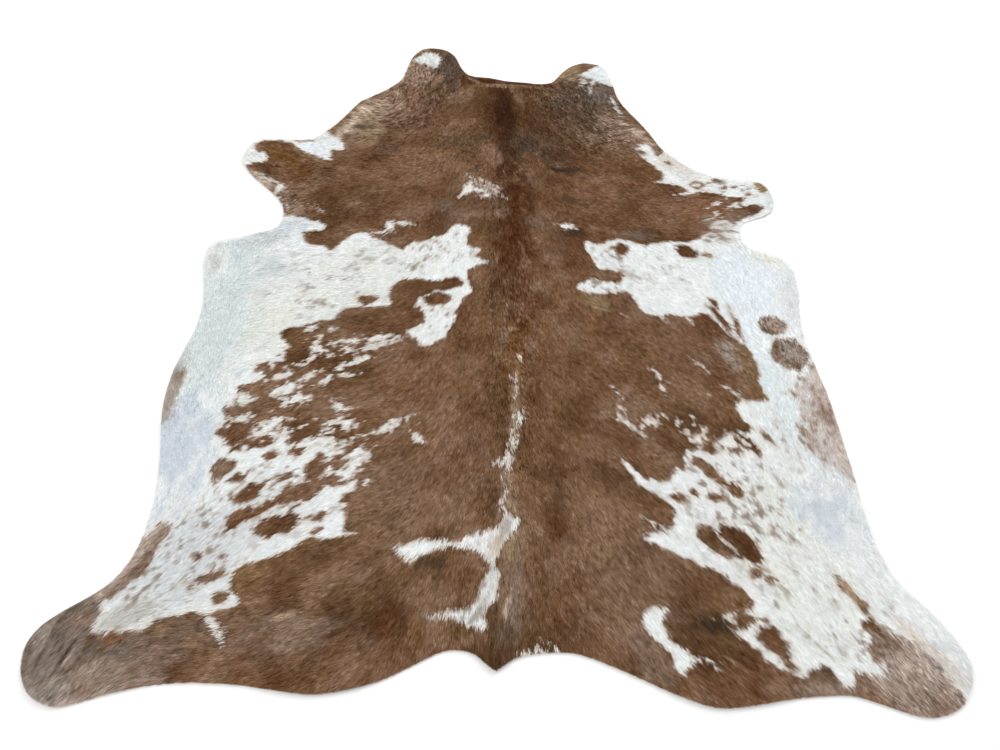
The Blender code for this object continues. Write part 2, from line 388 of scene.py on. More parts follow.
FORK = (
    (-22.5, -80.2), (-16.5, -79), (-13, -78.4), (-9.5, -79.3), (-6, -77), (0, -75.3), (1.6, -73),
    (2, -69), (3.4, -72.4), (6, -72.9), (3.8, -77), (0.4, -80.6), (-0.7, -84), (0.8, -88.5), (0.2, -92),
    (-2.6, -95.4), (-1.8, -98.8), (-5.5, -98), (-8.5, -96.4), (-14.2, -95.2), (-5.6, -94), (-3.4, -90),
    (-1.7, -84.6), (-4.4, -81.8), (-9.5, -80.1), (-15, -81.6), (-19.6, -82.8),
)
THIGH_HOOK = (
    (37.6, -93.9), (33, -94.4), (31, -95), (31.3, -98), (34.2, -101.6), (36, -104), (36.2, -106.6),
    (38.4, -107.4), (39.4, -105.6), (42, -104.9), (38.5, -102.6), (35.4, -99), (35.6, -96.2),
)
LEFT_EAR_WHITE = (
    (-30.5, 109), (-26.5, 114), (-24, 113.8), (-20.5, 110), (-22, 105), (-25, 107), (-29, 107.4),
)
RIGHT_EAR_WHITE = (
    (34.5, 104), (37, 104.2), (42, 104), (42, 93), (36, 94.6), (32.6, 95.5), (29.4, 98.6), (32, 100.6),
)


def patches_depth(*outlines):
    """A chart of the depth inside the nearest of several smoothed outlines, given in centimetres."""
    depths = [outline_depth(smooth_loop(np.array(outline) * CM, 3)) for outline in outlines]
    return np.max(depths, axis=0)


saddle = patches_depth(SHOULDERS, BACK, LEFT_FLANK, HOCK)
belly_edge = patches_depth(BELLY_EDGE)
white_patches = patches_depth(FORK, THIGH_HOOK, LEFT_EAR_WHITE, RIGHT_EAR_WHITE)
print(f"saddle: {((saddle > 0) & (rim_depth > 0)).sum() * CELL**2:.2f} square metres")

# %% [markdown]
# ## White on brown
# White streaks slant through the brown of the left flank and dot the rest of the saddle. Each is one
# row: an oval with its middle, its size and its heading. Their ends turn pointed where they are charted.

# %% Ovals of white on brown
# x, y, length and width in centimetres, heading in degrees
WHITE_STREAKS = (
    (-31, -21.2, 9, 2.0, 12), (-30.5, -23.2, 12, 1.5, 22), (-36, -24.8, 9, 1.4, 20),
    (-35.5, -28.6, 10, 1.6, 25), (-50.5, -17.5, 3.6, 1.7, 40), (-43.7, -18, 3.6, 1.7, 10),
    (-48.5, -22.5, 4, 1.3, 50), (-42.5, -22.5, 4, 0.9, 25), (-38.5, -22, 3.6, 1.3, 20),
    (-40, -31, 3.6, 2.1, 30), (-47.5, -25, 5.2, 2.2, -10), (-47.8, -27.6, 6, 1.3, 40),
    (-44.5, -27, 3, 1.3, 10), (-38, -33, 4.2, 1.8, 10), (-43, -34, 5, 1.4, 45), (-48, -34, 5, 1.1, 40),
    (-53.5, -37.5, 8.2, 3.1, 25), (-55.5, -33.5, 6, 2.4, 20), (-50.7, -41.2, 8, 3.0, 20),
    (-63.5, -40.5, 3.2, 2.2, 0), (-63, -46, 4.8, 3.2, 15), (-56, -48.7, 9.5, 2.8, 30),
    (-48.5, -48.8, 4, 1.2, 15), (-38.5, -43, 4.2, 2.2, -35), (-38, -47.8, 7.5, 3.2, 10),
    (-41, -50.4, 4.4, 1.4, 30), (-41, -54, 15, 2.2, 12), (-34, -66.2, 8, 1.6, 25),
    (-33, -57.5, 7, 1.6, 35), (-25.5, -48, 9.6, 1.9, 28), (-19, -51.5, 4.4, 1.9, -35),
    (-36, -63, 6, 1.4, 20), (-72.6, 43.4, 5, 1.1, -30), (-68.6, 39.8, 5, 2.7, -14),
    (-69, 38, 2.8, 2.2, 40), (-54, 29.8, 3.2, 0.8, -45), (-67.5, 34.2, 4.6, 0.9, -52),
    (-32.3, 22.3, 4.8, 3.0, 78), (-28, 23.2, 5.4, 1.5, -5), (-34.6, 19.4, 5.4, 1.5, 10),
    (-59.4, -97.4, 5, 2.0, -42), (-58, -99.8, 4.2, 1.4, -62), (-9, 39.4, 7, 3.6, 58),
    (-10.5, 37, 5, 1.5, 55), (-6, 38.6, 5.4, 2.4, -30), (-3.5, 35.8, 5, 1.7, -10),
    (-3.2, 39.6, 7.4, 1.3, -40), (-1.4, 38.6, 6, 1, -52), (-3.5, 42, 6, 1.1, -35),
    (4.9, -36.2, 3.6, 0.7, 95), (5.8, -46.2, 4.2, 1.5, 72), (4.7, -50.4, 7, 0.6, 82),
    (3.3, -57.4, 5.6, 1.1, 78), (1.2, -58.8, 3.8, 1.5, 10), (2.3, -60.6, 2.2, 0.8, 70),
    (2, -67.6, 3.4, 1.1, 75), (21.4, 21.8, 6, 2.3, -18), (67.8, 31.8, 5, 1.1, 35),
    (71.7, 29.9, 4.6, 1, -5), (74, 30.8, 3, 0.9, 10), (67, 28, 2.8, 0.9, 80), (65, 24.8, 4, 0.9, 5),
    (58, 35.8, 3.2, 1, 0), (40.5, 84, 4.4, 1.3, -78), (41, 79, 4, 1.3, -70), (29.8, 96, 5, 0.8, -70),
    (33.2, 94, 5, 0.9, 85), (53, -29.7, 3.8, 0.6, -42), (54.4, -31.3, 2.6, 0.5, -75),
    (42, -33.6, 3.6, 0.6, -50), (42.7, -37.6, 3, 1.6, -62), (31.3, -38.9, 2.6, 0.5, -42),
    (31.3, -43.4, 3.8, 0.8, -60), (32.6, -47.8, 7.4, 1.2, -42), (38.2, -47.2, 3.6, 2.3, -10),
    (36.2, -48.4, 3.8, 0.9, 20), (38.8, -45.8, 3, 0.9, 10), (46, -48, 3.4, 0.6, -30),
    (50, -48, 4.8, 1.1, -44), (61, -38.8, 3.6, 0.8, -42), (45, -13.3, 2.8, 0.9, -50),
    (51.6, -13.6, 2.8, 0.8, -52), (50, -52.3, 4.8, 2, -60), (47.8, -51.8, 3, 0.8, -50),
    (37.6, -75.4, 5.4, 0.8, -30), (43.8, -105.3, 3.4, 0.6, -26), (50.4, -95.9, 3.8, 1.1, -12),
    (51.4, -99.9, 3, 0.9, -25), (8, -102.8, 3.4, 0.9, 65), (9.8, -103, 2.6, 0.9, 60),
    (12.3, -102, 3, 1.1, -45), (6.2, -103.4, 2.4, 0.8, 50),
)
print("white streaks:", len(WHITE_STREAKS))

# %% [markdown]
# ## Brown on white
# The spots come in pairs and chains along the flanks, and two round ones lie near the right belly
# edge. A slit is thinner than a streak, and it is cut after the spots are laid on.

# %% Ovals of brown on white
# x, y, length and width in centimetres, heading in degrees
BROWN_SPOTS = (
    (-16.5, -6.8, 7.4, 4.7, 0), (-35.6, -7.5, 5.4, 3.2, 15), (-59.8, -30.3, 5.2, 2.5, 15),
    (-63.3, -50.3, 5.2, 4.6, 0), (-63, -54.6, 3, 2.1, 0), (-57, -53.5, 6.4, 3.6, 25),
    (-54.2, -56.5, 3.6, 3, -80), (-47.5, -55.7, 3.4, 3, 0), (-35, -55.6, 4, 2.6, 30),
    (-37.5, -57.7, 3.2, 2.2, 80), (-37, -59.7, 3.2, 3, 0), (-65.3, -60.5, 6.6, 5.6, 80),
    (-42.7, -60.7, 7.4, 5, 60), (-49.5, -63, 2.8, 2.5, 0), (-38, -63.3, 5.2, 3.5, 10),
    (-57.5, -66.5, 8, 3.9, 35), (-45.5, -67, 13.5, 5, 25), (-58.3, -72.8, 8.5, 3.2, 45),
    (-53, -70.4, 8.4, 2.1, 20), (-50, -75, 10.6, 5, 22), (-61, -62.8, 3, 1.3, 30),
    (-63.2, -87.9, 7, 2.2, 14), (-66, -89.8, 2.2, 1.5, 90), (-58.5, -91.8, 4.2, 2.9, 20),
    (36.3, 12.6, 5, 3.4, 88), (34.2, 13.2, 2.8, 1.5, 10), (56, 11.3, 7.6, 4.6, -30),
    (61.5, 9.8, 2.6, 2, 0), (62.5, 40, 5.2, 3.6, 0), (69, 42, 2.4, 2.1, 0), (71.2, 39, 2.2, 1.5, 0),
    (74.5, 39, 2.2, 1.5, 0), (82.6, 38.5, 6, 3, -60), (46.5, 56.5, 3.2, 1.6, -50), (-63.5, 62, 6, 1.2, 5),
    (54.5, 50, 2.4, 1, -40), (78, 35.5, 2, 1.2, 0), (61.4, -14, 10, 2.3, -57), (60.6, -9, 4.2, 1.4, -65),
    (65.8, -16.6, 9.6, 1.6, -82), (75.6, -16.2, 7.6, 7, -30), (78.2, -26, 10.8, 10, -45),
    (52, -55.2, 4.4, 3.1, -20), (58.3, -55.3, 5.4, 2.1, -18), (61.4, -53.4, 8, 3.6, -46),
    (49.2, -58.6, 4, 3, -50), (51.2, -61.7, 5.2, 2.6, -58), (54, -64.4, 4, 1.2, -45),
    (66.8, -51.4, 5.2, 1.9, -60), (42.4, -68.3, 3.2, 2.7, 0), (46.4, -66.8, 2.6, 2, -60),
    (51, -67.8, 3, 2.1, -10), (55.7, -65.7, 4.4, 3.6, -60), (49.2, -78.6, 9, 4.4, -50),
    (54.6, -79.6, 11.6, 6.2, -48), (57.3, -101.3, 8.4, 4.4, -40), (53, -96.6, 4.8, 2, -8),
    (60.4, -105.4, 3.2, 1.9, -30), (76.3, -90, 7.8, 2.4, -60), (47, 64, 3, 1, -60),
    (57, -86.5, 2.8, 2.2, 0), (60, -88, 2.6, 1.6, 0), (-60.5, -82.5, 1.8, 1.8, 0),
    (-66, -82.5, 1.6, 2, 0), (-40, -73, 2.6, 1.7, 0), (-40.5, -76, 2.7, 1.9, 0),
)
WHITE_SLITS = (
    (51.2, -78.4, 7, 0.9, -52), (-54, -73, 5.4, 1.2, 45), (62.5, 40, 2.4, 1.2, 0),
    (60.2, -15.6, 11, 0.8, -52), (60, -52.2, 4.2, 0.9, -40),
)
print("brown spots:", len(BROWN_SPOTS), "with", len(WHITE_SLITS), "slits")

# %% [markdown]
# ## Frayed edges
# Real markings have no clean edge, because hairs of one colour lie over the other. Two things rough
# them up here. The whole drawing wanders a few millimetres to and fro, so that no oval stays an oval.
# Then the grain pushes each edge up and down the lay. Where the coat is mottled, on the left flank, the
# thighs and the forelegs, it pushes more, so that the patches break up.

# %% How far the edges wander and fray
HALF_WAY, OVAL_END = 0.5, 1.1  # a soft oval fades from here to there, and 1 is its edge


def soft_ovals(rows):
    """A chart that adds up soft ovals: full strength half way out, and none past the edge."""
    chart = np.zeros((ROWS, COLUMNS))
    for x, y, length, width, heading, strength in rows:
        near, share = oval_share(x, y, length, width, heading)
        chart[near] += strength * (1 - smooth_rise(share, HALF_WAY, OVAL_END))
    return chart


# x, y, length and width in centimetres, heading in degrees, strength
MOTTLED = (
    (-50, -32, 40, 34, 25, 1.0), (-62, -42, 26, 34, 0, 0.9), (-42, -56, 48, 40, 25, 1.0),
    (-58, -66, 36, 30, 30, 0.8), (50, -50, 34, 26, -40, 0.9), (62, 32, 36, 14, 0, 0.8),
    (56, -90, 30, 30, -50, 0.5), (-68, 36, 30, 14, -35, 0.9), (82, -45, 34, 20, 90, 0.6),
    (84, -102, 30, 20, -50, 0.9),
)

# size of the blots and usual reach, both in metres
WANDERS = ((0.008, 0.0020), (0.022, 0.0022))
FRAY, FRAY_MOTTLED = 0.0015, 0.0032  # how far the grain pushes a plain edge, and more where mottled
# grain, its share of the plain fray, its share of the fray where the coat is mottled
FRAY_SHARES = ((hair_grain, 1, 0.6), (fine_grain, 1, 1.3), (coarse_grain, 0.3, 0.7))

wander = sum(
    reach * np.stack([soft_noise(blot, 20 + 2 * index), soft_noise(blot, 21 + 2 * index)], axis=-1)
    for index, (blot, reach) in enumerate(WANDERS)
)
wandered = chart_plan + wander
mottled = np.clip(soft_ovals(MOTTLED), 0, 1)
fray = sum(grain * (plain * FRAY + more * FRAY_MOTTLED * mottled) for grain, plain, more in FRAY_SHARES)
print(f"edges wander {np.abs(wander).mean() * 1000:.1f} mm and fray {np.abs(fray).mean() * 1000:.1f} mm")

# %% [markdown]
# ## One depth for all the brown
# The patches, streaks, spots and slits are now joined and cut in the order in which they lie. Each is
# read at the wandered places, and the fray is added to what is brown and taken from what is white.

# %% Put the markings together
STREAK_BULGE = 1.45  # below 2, so streaks are pointed
STREAK_SHARE = 0.7  # a streak counts as this deep, so that its fray bites further
WHITE_FRAY, SPOT_FRAY, SLIT_FRAY = 0.6, 0.7, 0.3  # share of the fray at the white, the spots, the slits

white_streaks = np.maximum(white_patches, STREAK_SHARE * ovals_depth(WHITE_STREAKS, STREAK_BULGE))
white_slits = ovals_depth(WHITE_SLITS, STREAK_BULGE)
brown_depth = read_chart(saddle, wandered) + fray
brown_depth = np.minimum(brown_depth, -read_chart(white_streaks, wandered) - WHITE_FRAY * fray)
brown_depth = np.maximum(brown_depth, read_chart(ovals_depth(BROWN_SPOTS), wandered) + SPOT_FRAY * fray)
brown_depth = np.minimum(brown_depth, -read_chart(white_slits, wandered) - SLIT_FRAY * fray)
brown_area = ((brown_depth > 0) & (rim_depth > 0)).sum() * CELL**2
print(f"brown: {brown_area:.2f} square metres")

# %% [markdown]
# ## Tones of the hair
# The brown is not one brown. It is maroon along the withers, golden on the loin, taupe on the legs,
# and sooty in blotches. The white is bluish where the belly hair is thin and creamy elsewhere. Each
# tone is named once. It is given as the eye sees it on the finished coat, and turned into the dye that
# looks so once the hairs shade and gloss each other.

# %% Named colours
SHEEN = 0.005  # light that the gloss of the hair adds to every tone
GAIN = 0.87  # how bright the coat looks beside the dye itself


def linear(red, green, blue):
    """A colour given as on a screen, 0 to 255, turned to the light values that Blender mixes."""
    share = np.array([red, green, blue]) / 255
    return np.where(share > 0.04045, ((share + 0.055) / 1.055) ** 2.4, share / 12.92)


def dye(red, green, blue):
    """The dye that gives this look on the finished coat, where hairs shade and gloss each other."""
    return np.clip((linear(red, green, blue) - SHEEN) / GAIN, 0.001, 0.95)


TONES = {
    "chestnut": dye(122, 90, 65),
    "light chestnut": dye(139, 103, 77),
    "dark chestnut": dye(99, 73, 51),
    "deep brown": dye(84, 57, 34),
    "red brown": dye(85, 49, 23),
    "maroon": dye(60, 31, 2),
    "golden": dye(112, 76, 38),
    "olive": dye(132, 103, 71),
    "olive brown": dye(99, 72, 45),
    "russet": dye(110, 74, 50),
    "greyed brown": dye(137, 109, 87),
    "taupe": dye(142, 120, 105),
    "pink taupe": dye(154, 129, 110),
    "pale taupe": dye(158, 140, 126),
    "rose taupe": dye(190, 174, 164),
    "grey": dye(120, 106, 95),
    "mouse": dye(156, 144, 133),
    "ash brown": dye(96, 79, 64),
    "soot": dye(62, 48, 38),
    "tan": dye(172, 148, 124),
    "olive tan": dye(152, 128, 98),
    "pale tan": dye(206, 188, 170),
    "white": dye(228, 231, 231),
    "cream": dye(223, 223, 216),
    "straw": dye(224, 218, 196),
    "cool white": dye(208, 217, 217),
    "bluish": dye(200, 208, 216),
    "lilac white": dye(226, 231, 238),
    "ash": dye(204, 208, 210),
    "smoke": dye(178, 172, 162),
    "pink": dye(224, 211, 202),
}

print(len(TONES), "tones of hair")

# %% [markdown]
# ## Washes
# Tones are laid on like washes of dye: each is a soft oval with a ragged edge, and later ones lie over
# earlier ones. The first washes are broad and give each part of the saddle its own brown.

# %% Broad washes under the brown
# x, y, length and width in centimetres, heading in degrees, tone, strength
GROUND_WASHES = (
    (4, 90, 64, 54, 0, "olive brown", 0.65), (17, 66, 46, 38, 60, "dark chestnut", 0.85),
    (-16, 76, 50, 20, 95, "olive brown", 0.6), (-25, 50, 46, 36, 0, "light chestnut", 0.85),
    (-44, 34, 36, 20, 0, "dark chestnut", 0.5), (-22, 60, 24, 12, 0, "golden", 0.25),
    (30, 43, 34, 22, -20, "light chestnut", 0.7), (32, 24, 34, 16, 0, "russet", 0.6),
    (-10, 29, 16, 16, 0, "taupe", 0.45), (-60, 44, 40, 16, -30, "russet", 0.5),
    (-40, -25, 50, 30, 20, "dark chestnut", 0.25), (-22, -68, 50, 34, 0, "greyed brown", 0.9),
    (-4, -44, 44, 18, 90, "dark chestnut", 0.5), (20, -10, 40, 26, 0, "light chestnut", 0.5),
    (22, -66, 40, 30, 90, "greyed brown", 0.5), (60, -16, 24, 14, -50, "russet", 0.4),
    (46, -58, 26, 16, -40, "dark chestnut", 0.5), (-34, -92, 60, 26, 5, "dark chestnut", 0.2),
    (-24, -91, 40, 18, 5, "dark chestnut", 0.65), (-52, -96, 24, 9, 15, "deep brown", 0.6),
    (-46, -101, 40, 14, 0, "taupe", 0.5), (33, -88, 30, 34, 90, "greyed brown", 0.95),
    (46, -89, 22, 16, -40, "dark chestnut", 0.35), (50, -109, 34, 12, 0, "russet", 0.3),
    (46, -99, 36, 13, -10, "deep brown", 0.65), (54, -79, 22, 16, -45, "deep brown", 0.8),
    (1, -101, 34, 20, 0, "deep brown", 0.6), (-70, -101, 30, 18, 0, "greyed brown", 0.8),
    (5, -7, 40, 12, 90, "russet", 0.4), (4.6, 22, 66, 15, 90, "red brown", 0.9),
    (4.2, 26, 44, 6, 90, "deep brown", 0.6), (3.4, 54, 44, 12, 90, "deep brown", 0.95),
    (1, 76, 40, 15, 90, "red brown", 0.9),
)


WASH_FULL, WASH_END = 0.35, 1.1  # a wash fades from here to there, and 1 is its edge
ragged = grains(fine=0.08, coarse=0.16, broad=0.10)


def washed(base, washes):
    """A chart of colour: the base, then one soft oval after another laid over it."""
    chart = np.zeros((ROWS, COLUMNS, 3)) + base
    for x, y, length, width, heading, tone, strength in washes:
        near, share = oval_share(x, y, length, width, heading)
        cover = strength * (1 - smooth_rise(share + ragged[near], WASH_FULL, WASH_END))[..., None]
        chart[near] += cover * (TONES[tone] - chart[near])
    return chart


def tinted(chart, share, tone):
    """The chart with that share of a tone mixed in, cell by cell."""
    return chart + share[..., None] * (TONES[tone] - chart)


brown_hair = washed(TONES["chestnut"], GROUND_WASHES)
print(len(GROUND_WASHES), "broad washes laid on")

# %% [markdown]
# ## Clouds in the brown
# Even between the washes the brown shifts from hand's breadth to hand's breadth. Four layers of cloud
# follow two charts of broad noise, each above or below a level, and tint the brown a little.

# %% Cloud the brown
cloud = 0.7 * soft_noise(0.028, 31) + grains(coarse=0.3, broad=0.6)
warmth = soft_noise(0.020, 33) + grains(broad=0.3)
# chart, level where the tint starts, level where it is full, greatest share, tone
CLOUDS = (
    (cloud, 0.1, 1.4, 0.85, "greyed brown"),
    (-cloud, 0.1, 1.6, 0.65, "deep brown"),
    (warmth, 0.2, 1.8, 0.40, "red brown"),
    (-warmth, 0.2, 1.8, 0.25, "olive"),
)

for chart, start, full, share, tone in CLOUDS:
    brown_hair = tinted(brown_hair, share * smooth_rise(chart, start, full), tone)
print("mean brown under the marks", brown_hair.mean(axis=(0, 1)).round(3))

# %% [markdown]
# ## Shades of the front half
# Over the clouds lie the shades that the eye can name. A few wide ones come first, all over the rug.
# Then come the pale cheeks with a sooty smudge, the grey under the right ear, the sooty blotches on the
# shoulders, and the taupe and golden hair at the forelegs.

# %% Shades on the head, shoulders and forelegs
# x, y, length and width in centimetres, heading in degrees, tone, strength
FRONT_WASHES = {
    "under all": (
        (16, 76, 40, 36, 0, "red brown", 0.42), (-26, 50, 34, 24, 0, "light chestnut", 0.55),
        (-14, 74, 18, 26, 0, "light chestnut", 0.3), (28, 32, 26, 16, 0, "light chestnut", 0.45),
        (62, 30, 22, 12, 0, "light chestnut", 0.75), (5, 2, 22, 10, 90, "light chestnut", 0.2),
        (4.4, 24, 52, 9, 90, "red brown", 0.8), (-22, -66, 36, 22, 0, "greyed brown", 0.7),
        (27, -93, 26, 20, 80, "greyed brown", 0.75), (50, -26, 20, 14, -45, "greyed brown", 0.5),
        (-20, -36, 26, 20, 0, "light chestnut", 0.55), (2.4, 74, 40, 6.5, 90, "maroon", 0.85),
        (3, 86, 16, 8, 90, "deep brown", 0.6), (30, 86, 30, 26, 80, "ash brown", 0.8),
    ),
    "head and cheeks": (
        (37, 89, 14, 10, 85, "grey", 0.9), (9, 61, 22, 16, 0, "ash brown", 0.6),
        (43, 68, 30, 15, -55, "pink taupe", 0.8), (25.5, 100.5, 14, 11, 60, "olive tan", 0.9),
        (33.5, 105, 8, 5, 0, "taupe", 0.8), (-29, 102, 24, 20, 80, "pink taupe", 0.95),
        (-34.5, 104, 24, 7, 78, "tan", 0.9), (-17.5, 103, 34, 11, 100, "ash brown", 0.95),
        (-30, 115, 12, 5, 35, "tan", 0.9), (-32, 84, 34, 20, 80, "light chestnut", 0.5),
        (-42.5, 76, 40, 14, 68, "tan", 0.9), (-48.6, 70, 26, 6, 62, "pale tan", 0.95),
        (-42, 64, 14, 10, 60, "olive tan", 0.8), (-54, 71, 22, 5, 62, "olive tan", 0.9),
        (-45, 70, 10, 4, 10, "soot", 0.75), (3, 94.4, 44, 7.5, -5, "red brown", 1.0),
        (-8, 94.9, 8, 0.9, -47, "tan", 0.9), (5, 91.6, 34, 0.7, -2, "tan", 0.8),
        (46.5, 57, 7, 5, -50, "grey", 0.6), (51.6, 57, 9, 5, -45, "taupe", 0.9),
    ),
    "neck and shoulders": (
        (17, 54, 30, 11, -42, "soot", 0.45), (23, 47.6, 15, 6, -5, "soot", 0.8),
        (12, 43.5, 9, 5, -40, "soot", 0.55), (23, 33, 8, 5, -35, "soot", 0.5),
        (21, 18.8, 9, 6, 0, "soot", 0.6), (13, 23.5, 11, 7, -20, "grey", 0.6),
        (12.6, 24, 5, 0.8, -25, "tan", 0.6), (40.5, 18, 11, 5, 0, "grey", 0.7),
        (-34, 57.5, 12, 7, 10, "ash brown", 0.6), (-24, 39.3, 9, 3, 0, "soot", 0.45),
        (-16.5, 32, 9, 6, 0, "grey", 0.5), (-6.5, 47.5, 9, 5, 80, "soot", 0.6),
        (-25, 50, 24, 16, 0, "greyed brown", 0.45), (-12, 62, 18, 7, 10, "ash brown", 0.5),
    ),
    "forelegs": (
        (-68, 52, 30, 9, -42, "golden", 0.85), (-62, 58, 26, 7, -38, "olive tan", 0.75),
        (-70, 38, 26, 8, -44, "pink taupe", 0.75), (-75, 43, 12, 4, -42, "pale tan", 0.7),
        (-63.5, 30.5, 16, 9, -50, "pink taupe", 0.8), (-63.5, 62, 8, 4, 5, "olive tan", 0.9),
        (53.5, 40, 6, 3, 0, "olive brown", 0.7), (69, 41, 20, 9, 0, "taupe", 0.8),
        (62.5, 40, 8, 6, 0, "pale taupe", 0.7), (82.5, 38.5, 9, 6, -60, "olive tan", 0.95),
        (66.5, 20, 16, 13, 40, "pale taupe", 0.85), (72, 26, 14, 6, 20, "taupe", 0.5),
        (61.5, 9.8, 5, 4, 0, "olive tan", 0.9), (46.4, 66, 20, 5, -54, "pale tan", 0.6),
    ),
}

for washes in FRONT_WASHES.values():
    brown_hair = washed(brown_hair, washes)
print({place: len(washes) for place, washes in FRONT_WASHES.items()})

# %% [markdown]
# ## Shades of the back half
# The hind legs are greyer than the body, and taupe hair runs down from the white fork to the tail. Near
# the left tip, thin soot lines along the folds are painted shade in the creases. The spine comes last
# because it lies over all: maroon and red brown at the shoulders, golden on the loin.

# %% Shades on the flanks, hind legs, rump and spine
# x, y, length and width in centimetres, heading in degrees, tone, strength
BACK_WASHES = {
    "flanks": (
        (28, -8, 12, 9, 0, "olive tan", 0.75), (63, -27, 15, 11, -60, "pale taupe", 0.8),
        (62, -25.6, 9, 7, -60, "mouse", 0.5), (66.5, -29, 26, 6, -82, "olive", 0.85),
        (75.6, -16.2, 14, 13, 0, "pale taupe", 0.95), (78.2, -26, 18, 17, 0, "mouse", 0.85),
        (66.8, -51.6, 8, 4, -60, "taupe", 0.7), (58.4, -55.3, 8, 4, -18, "taupe", 0.5),
        (-66, -43, 10, 7, 80, "taupe", 0.6), (-49.5, -63, 5, 4, 0, "taupe", 0.7),
        (29.5, -10.7, 7, 0.9, -15, "tan", 0.8), (35, -12.8, 5, 0.7, -25, "tan", 0.8),
        (53.8, -39, 4, 0.7, -35, "tan", 0.9), (38.5, -57, 3, 0.8, -40, "tan", 0.8),
    ),
    "left hind leg": (
        (-79, -83, 34, 14, 58, "pale taupe", 0.9), (-77.6, -84, 14, 4, 60, "russet", 0.5),
        (-80.6, -83, 24, 4.4, 60, "rose taupe", 0.75), (-86, -91.5, 12, 4, 50, "pale tan", 0.7),
        (-65.3, -60.5, 10, 8, 80, "taupe", 0.7), (-63.5, -61.5, 4, 3, 0, "chestnut", 0.6),
        (-62.5, -88.3, 11, 5, 14, "taupe", 0.6), (-54, -88, 14, 9, 70, "olive", 0.75),
        (-93, -102, 38, 32, 80, "grey", 0.95), (-89, -105, 20, 12, 70, "mouse", 0.3),
        (-95, -98, 12, 9, 70, "mouse", 0.7), (-88, -110, 18, 10, 15, "mouse", 0.8),
        (-79, -112.5, 24, 6, 10, "rose taupe", 0.7), (-71, -109.5, 14, 6, 5, "pale taupe", 0.7),
        # the three thin soot lines at x -88.4, -93 and -90.8 are painted shade in the creases of the leg
        # tip
        (-79, -105, 26, 12, 0, "grey", 0.75), (-88.4, -105, 13, 0.9, 72, "soot", 0.8),
        (-87.5, -105, 12, 0.7, 72, "rose taupe", 0.6), (-93, -104, 8, 0.8, 78, "soot", 0.6),
        (-90.8, -103.5, 9, 0.7, 74, "soot", 0.4), (-86, -97, 8, 5, 0, "taupe", 0.8),
        (-69, -103, 12, 9, 80, "russet", 0.25), (-41, -99, 14, 8, 0, "taupe", 0.5),
        (-44, -95.8, 5, 1.4, 15, "tan", 0.8), (-64, -98, 14, 6, 0, "ash brown", 0.5),
        (-40, -74.5, 6, 7, 0, "taupe", 0.7), (-63, -82.5, 9, 4, 0, "taupe", 0.8),
        (-81, -108.5, 14, 7, 15, "pale taupe", 0.75), (-70, -106, 16, 8, 10, "taupe", 0.5),
        (-64, -100, 22, 8, 10, "taupe", 0.35), (-45, -102, 6, 2.5, 10, "tan", 0.4),
    ),
    "right hind leg": (
        (50, -93, 14, 10, -30, "olive", 0.5), (47.5, -97.4, 11, 5, -8, "soot", 0.85),
        (85, -107, 42, 26, -48, "pale taupe", 1.0), (84, -108, 24, 14, -48, "rose taupe", 0.4),
        (88, -104.2, 26, 8, -54, "rose taupe", 0.6), (86.5, -113, 14, 6, -30, "taupe", 0.6),
        (79, -100, 10, 5, -70, "taupe", 0.5), (66, -110.5, 22, 6, 0, "pale taupe", 0.6),
        (67.5, -107, 9, 7, 0, "ash brown", 0.6), (76.6, -90.6, 13, 6, -60, "tan", 1.0),
        (57.2, -101.8, 10, 5, -36, "chestnut", 0.7), (32, -104, 16, 9, -50, "taupe", 0.5),
        (48, -104.6, 5, 0.6, -30, "tan", 0.7), (58.5, -87.2, 8, 5, 0, "taupe", 0.9),
        (51.5, -79.5, 18, 9, -46, "deep brown", 0.7),
    ),
    "rump and tail": (
        (-14, -84, 11, 4.5, 0, "soot", 0.6), (10, -88, 24, 8, 90, "dark chestnut", 0.4),
        (3.4, -86, 42, 8, 90, "taupe", 0.7), (3, -80, 13, 5, 82, "olive tan", 0.7),
        (2.6, -93.4, 8, 1.6, 78, "pale tan", 0.8), (1, -98.5, 8, 5, 80, "ash brown", 0.5),
        (-5, -100.6, 9, 5, 10, "greyed brown", 0.9), (-0.2, -95, 7, 3.6, 80, "soot", 0.7),
        (-3.8, -95, 5, 2.2, 50, "mouse", 0.7), (3, -67, 18, 5, 90, "tan", 0.5),
        (0, -104, 18, 9, 0, "deep brown", 0.8),
    ),
    "spine": (
        (2.2, 47.5, 4, 0.6, 80, "pale tan", 0.9), (4.8, -26, 32, 8, 90, "golden", 1.0),
        (5, -33, 18, 5, 90, "olive", 0.6), (4.6, -47, 28, 2.6, 88, "tan", 0.65),
        (1, -42, 20, 5, 90, "olive brown", 0.7), (6, -17, 11, 8, 60, "golden", 0.8),
        (7.4, -15.4, 6, 4, 60, "maroon", 0.5), (4, -17.6, 4, 2, 0, "tan", 0.8),
        (6.2, -27.8, 3.4, 1, -65, "pale tan", 0.95), (2, -8, 16, 5, 70, "olive brown", 0.6),
        (2.8, 68, 50, 6, 89, "maroon", 0.7), (3.4, 54, 26, 7, 88, "deep brown", 0.5),
        (3.2, 40, 28, 9, 94, "red brown", 0.75), (1.6, 35, 13, 5, 60, "maroon", 0.45),
        (4.6, -8, 20, 6, 90, "red brown", 0.4), (12, 80, 16, 12, -50, "olive brown", 0.4),
    ),
}

for washes in BACK_WASHES.values():
    brown_hair = washed(brown_hair, washes)
print({place: len(washes) for place, washes in BACK_WASHES.items()})
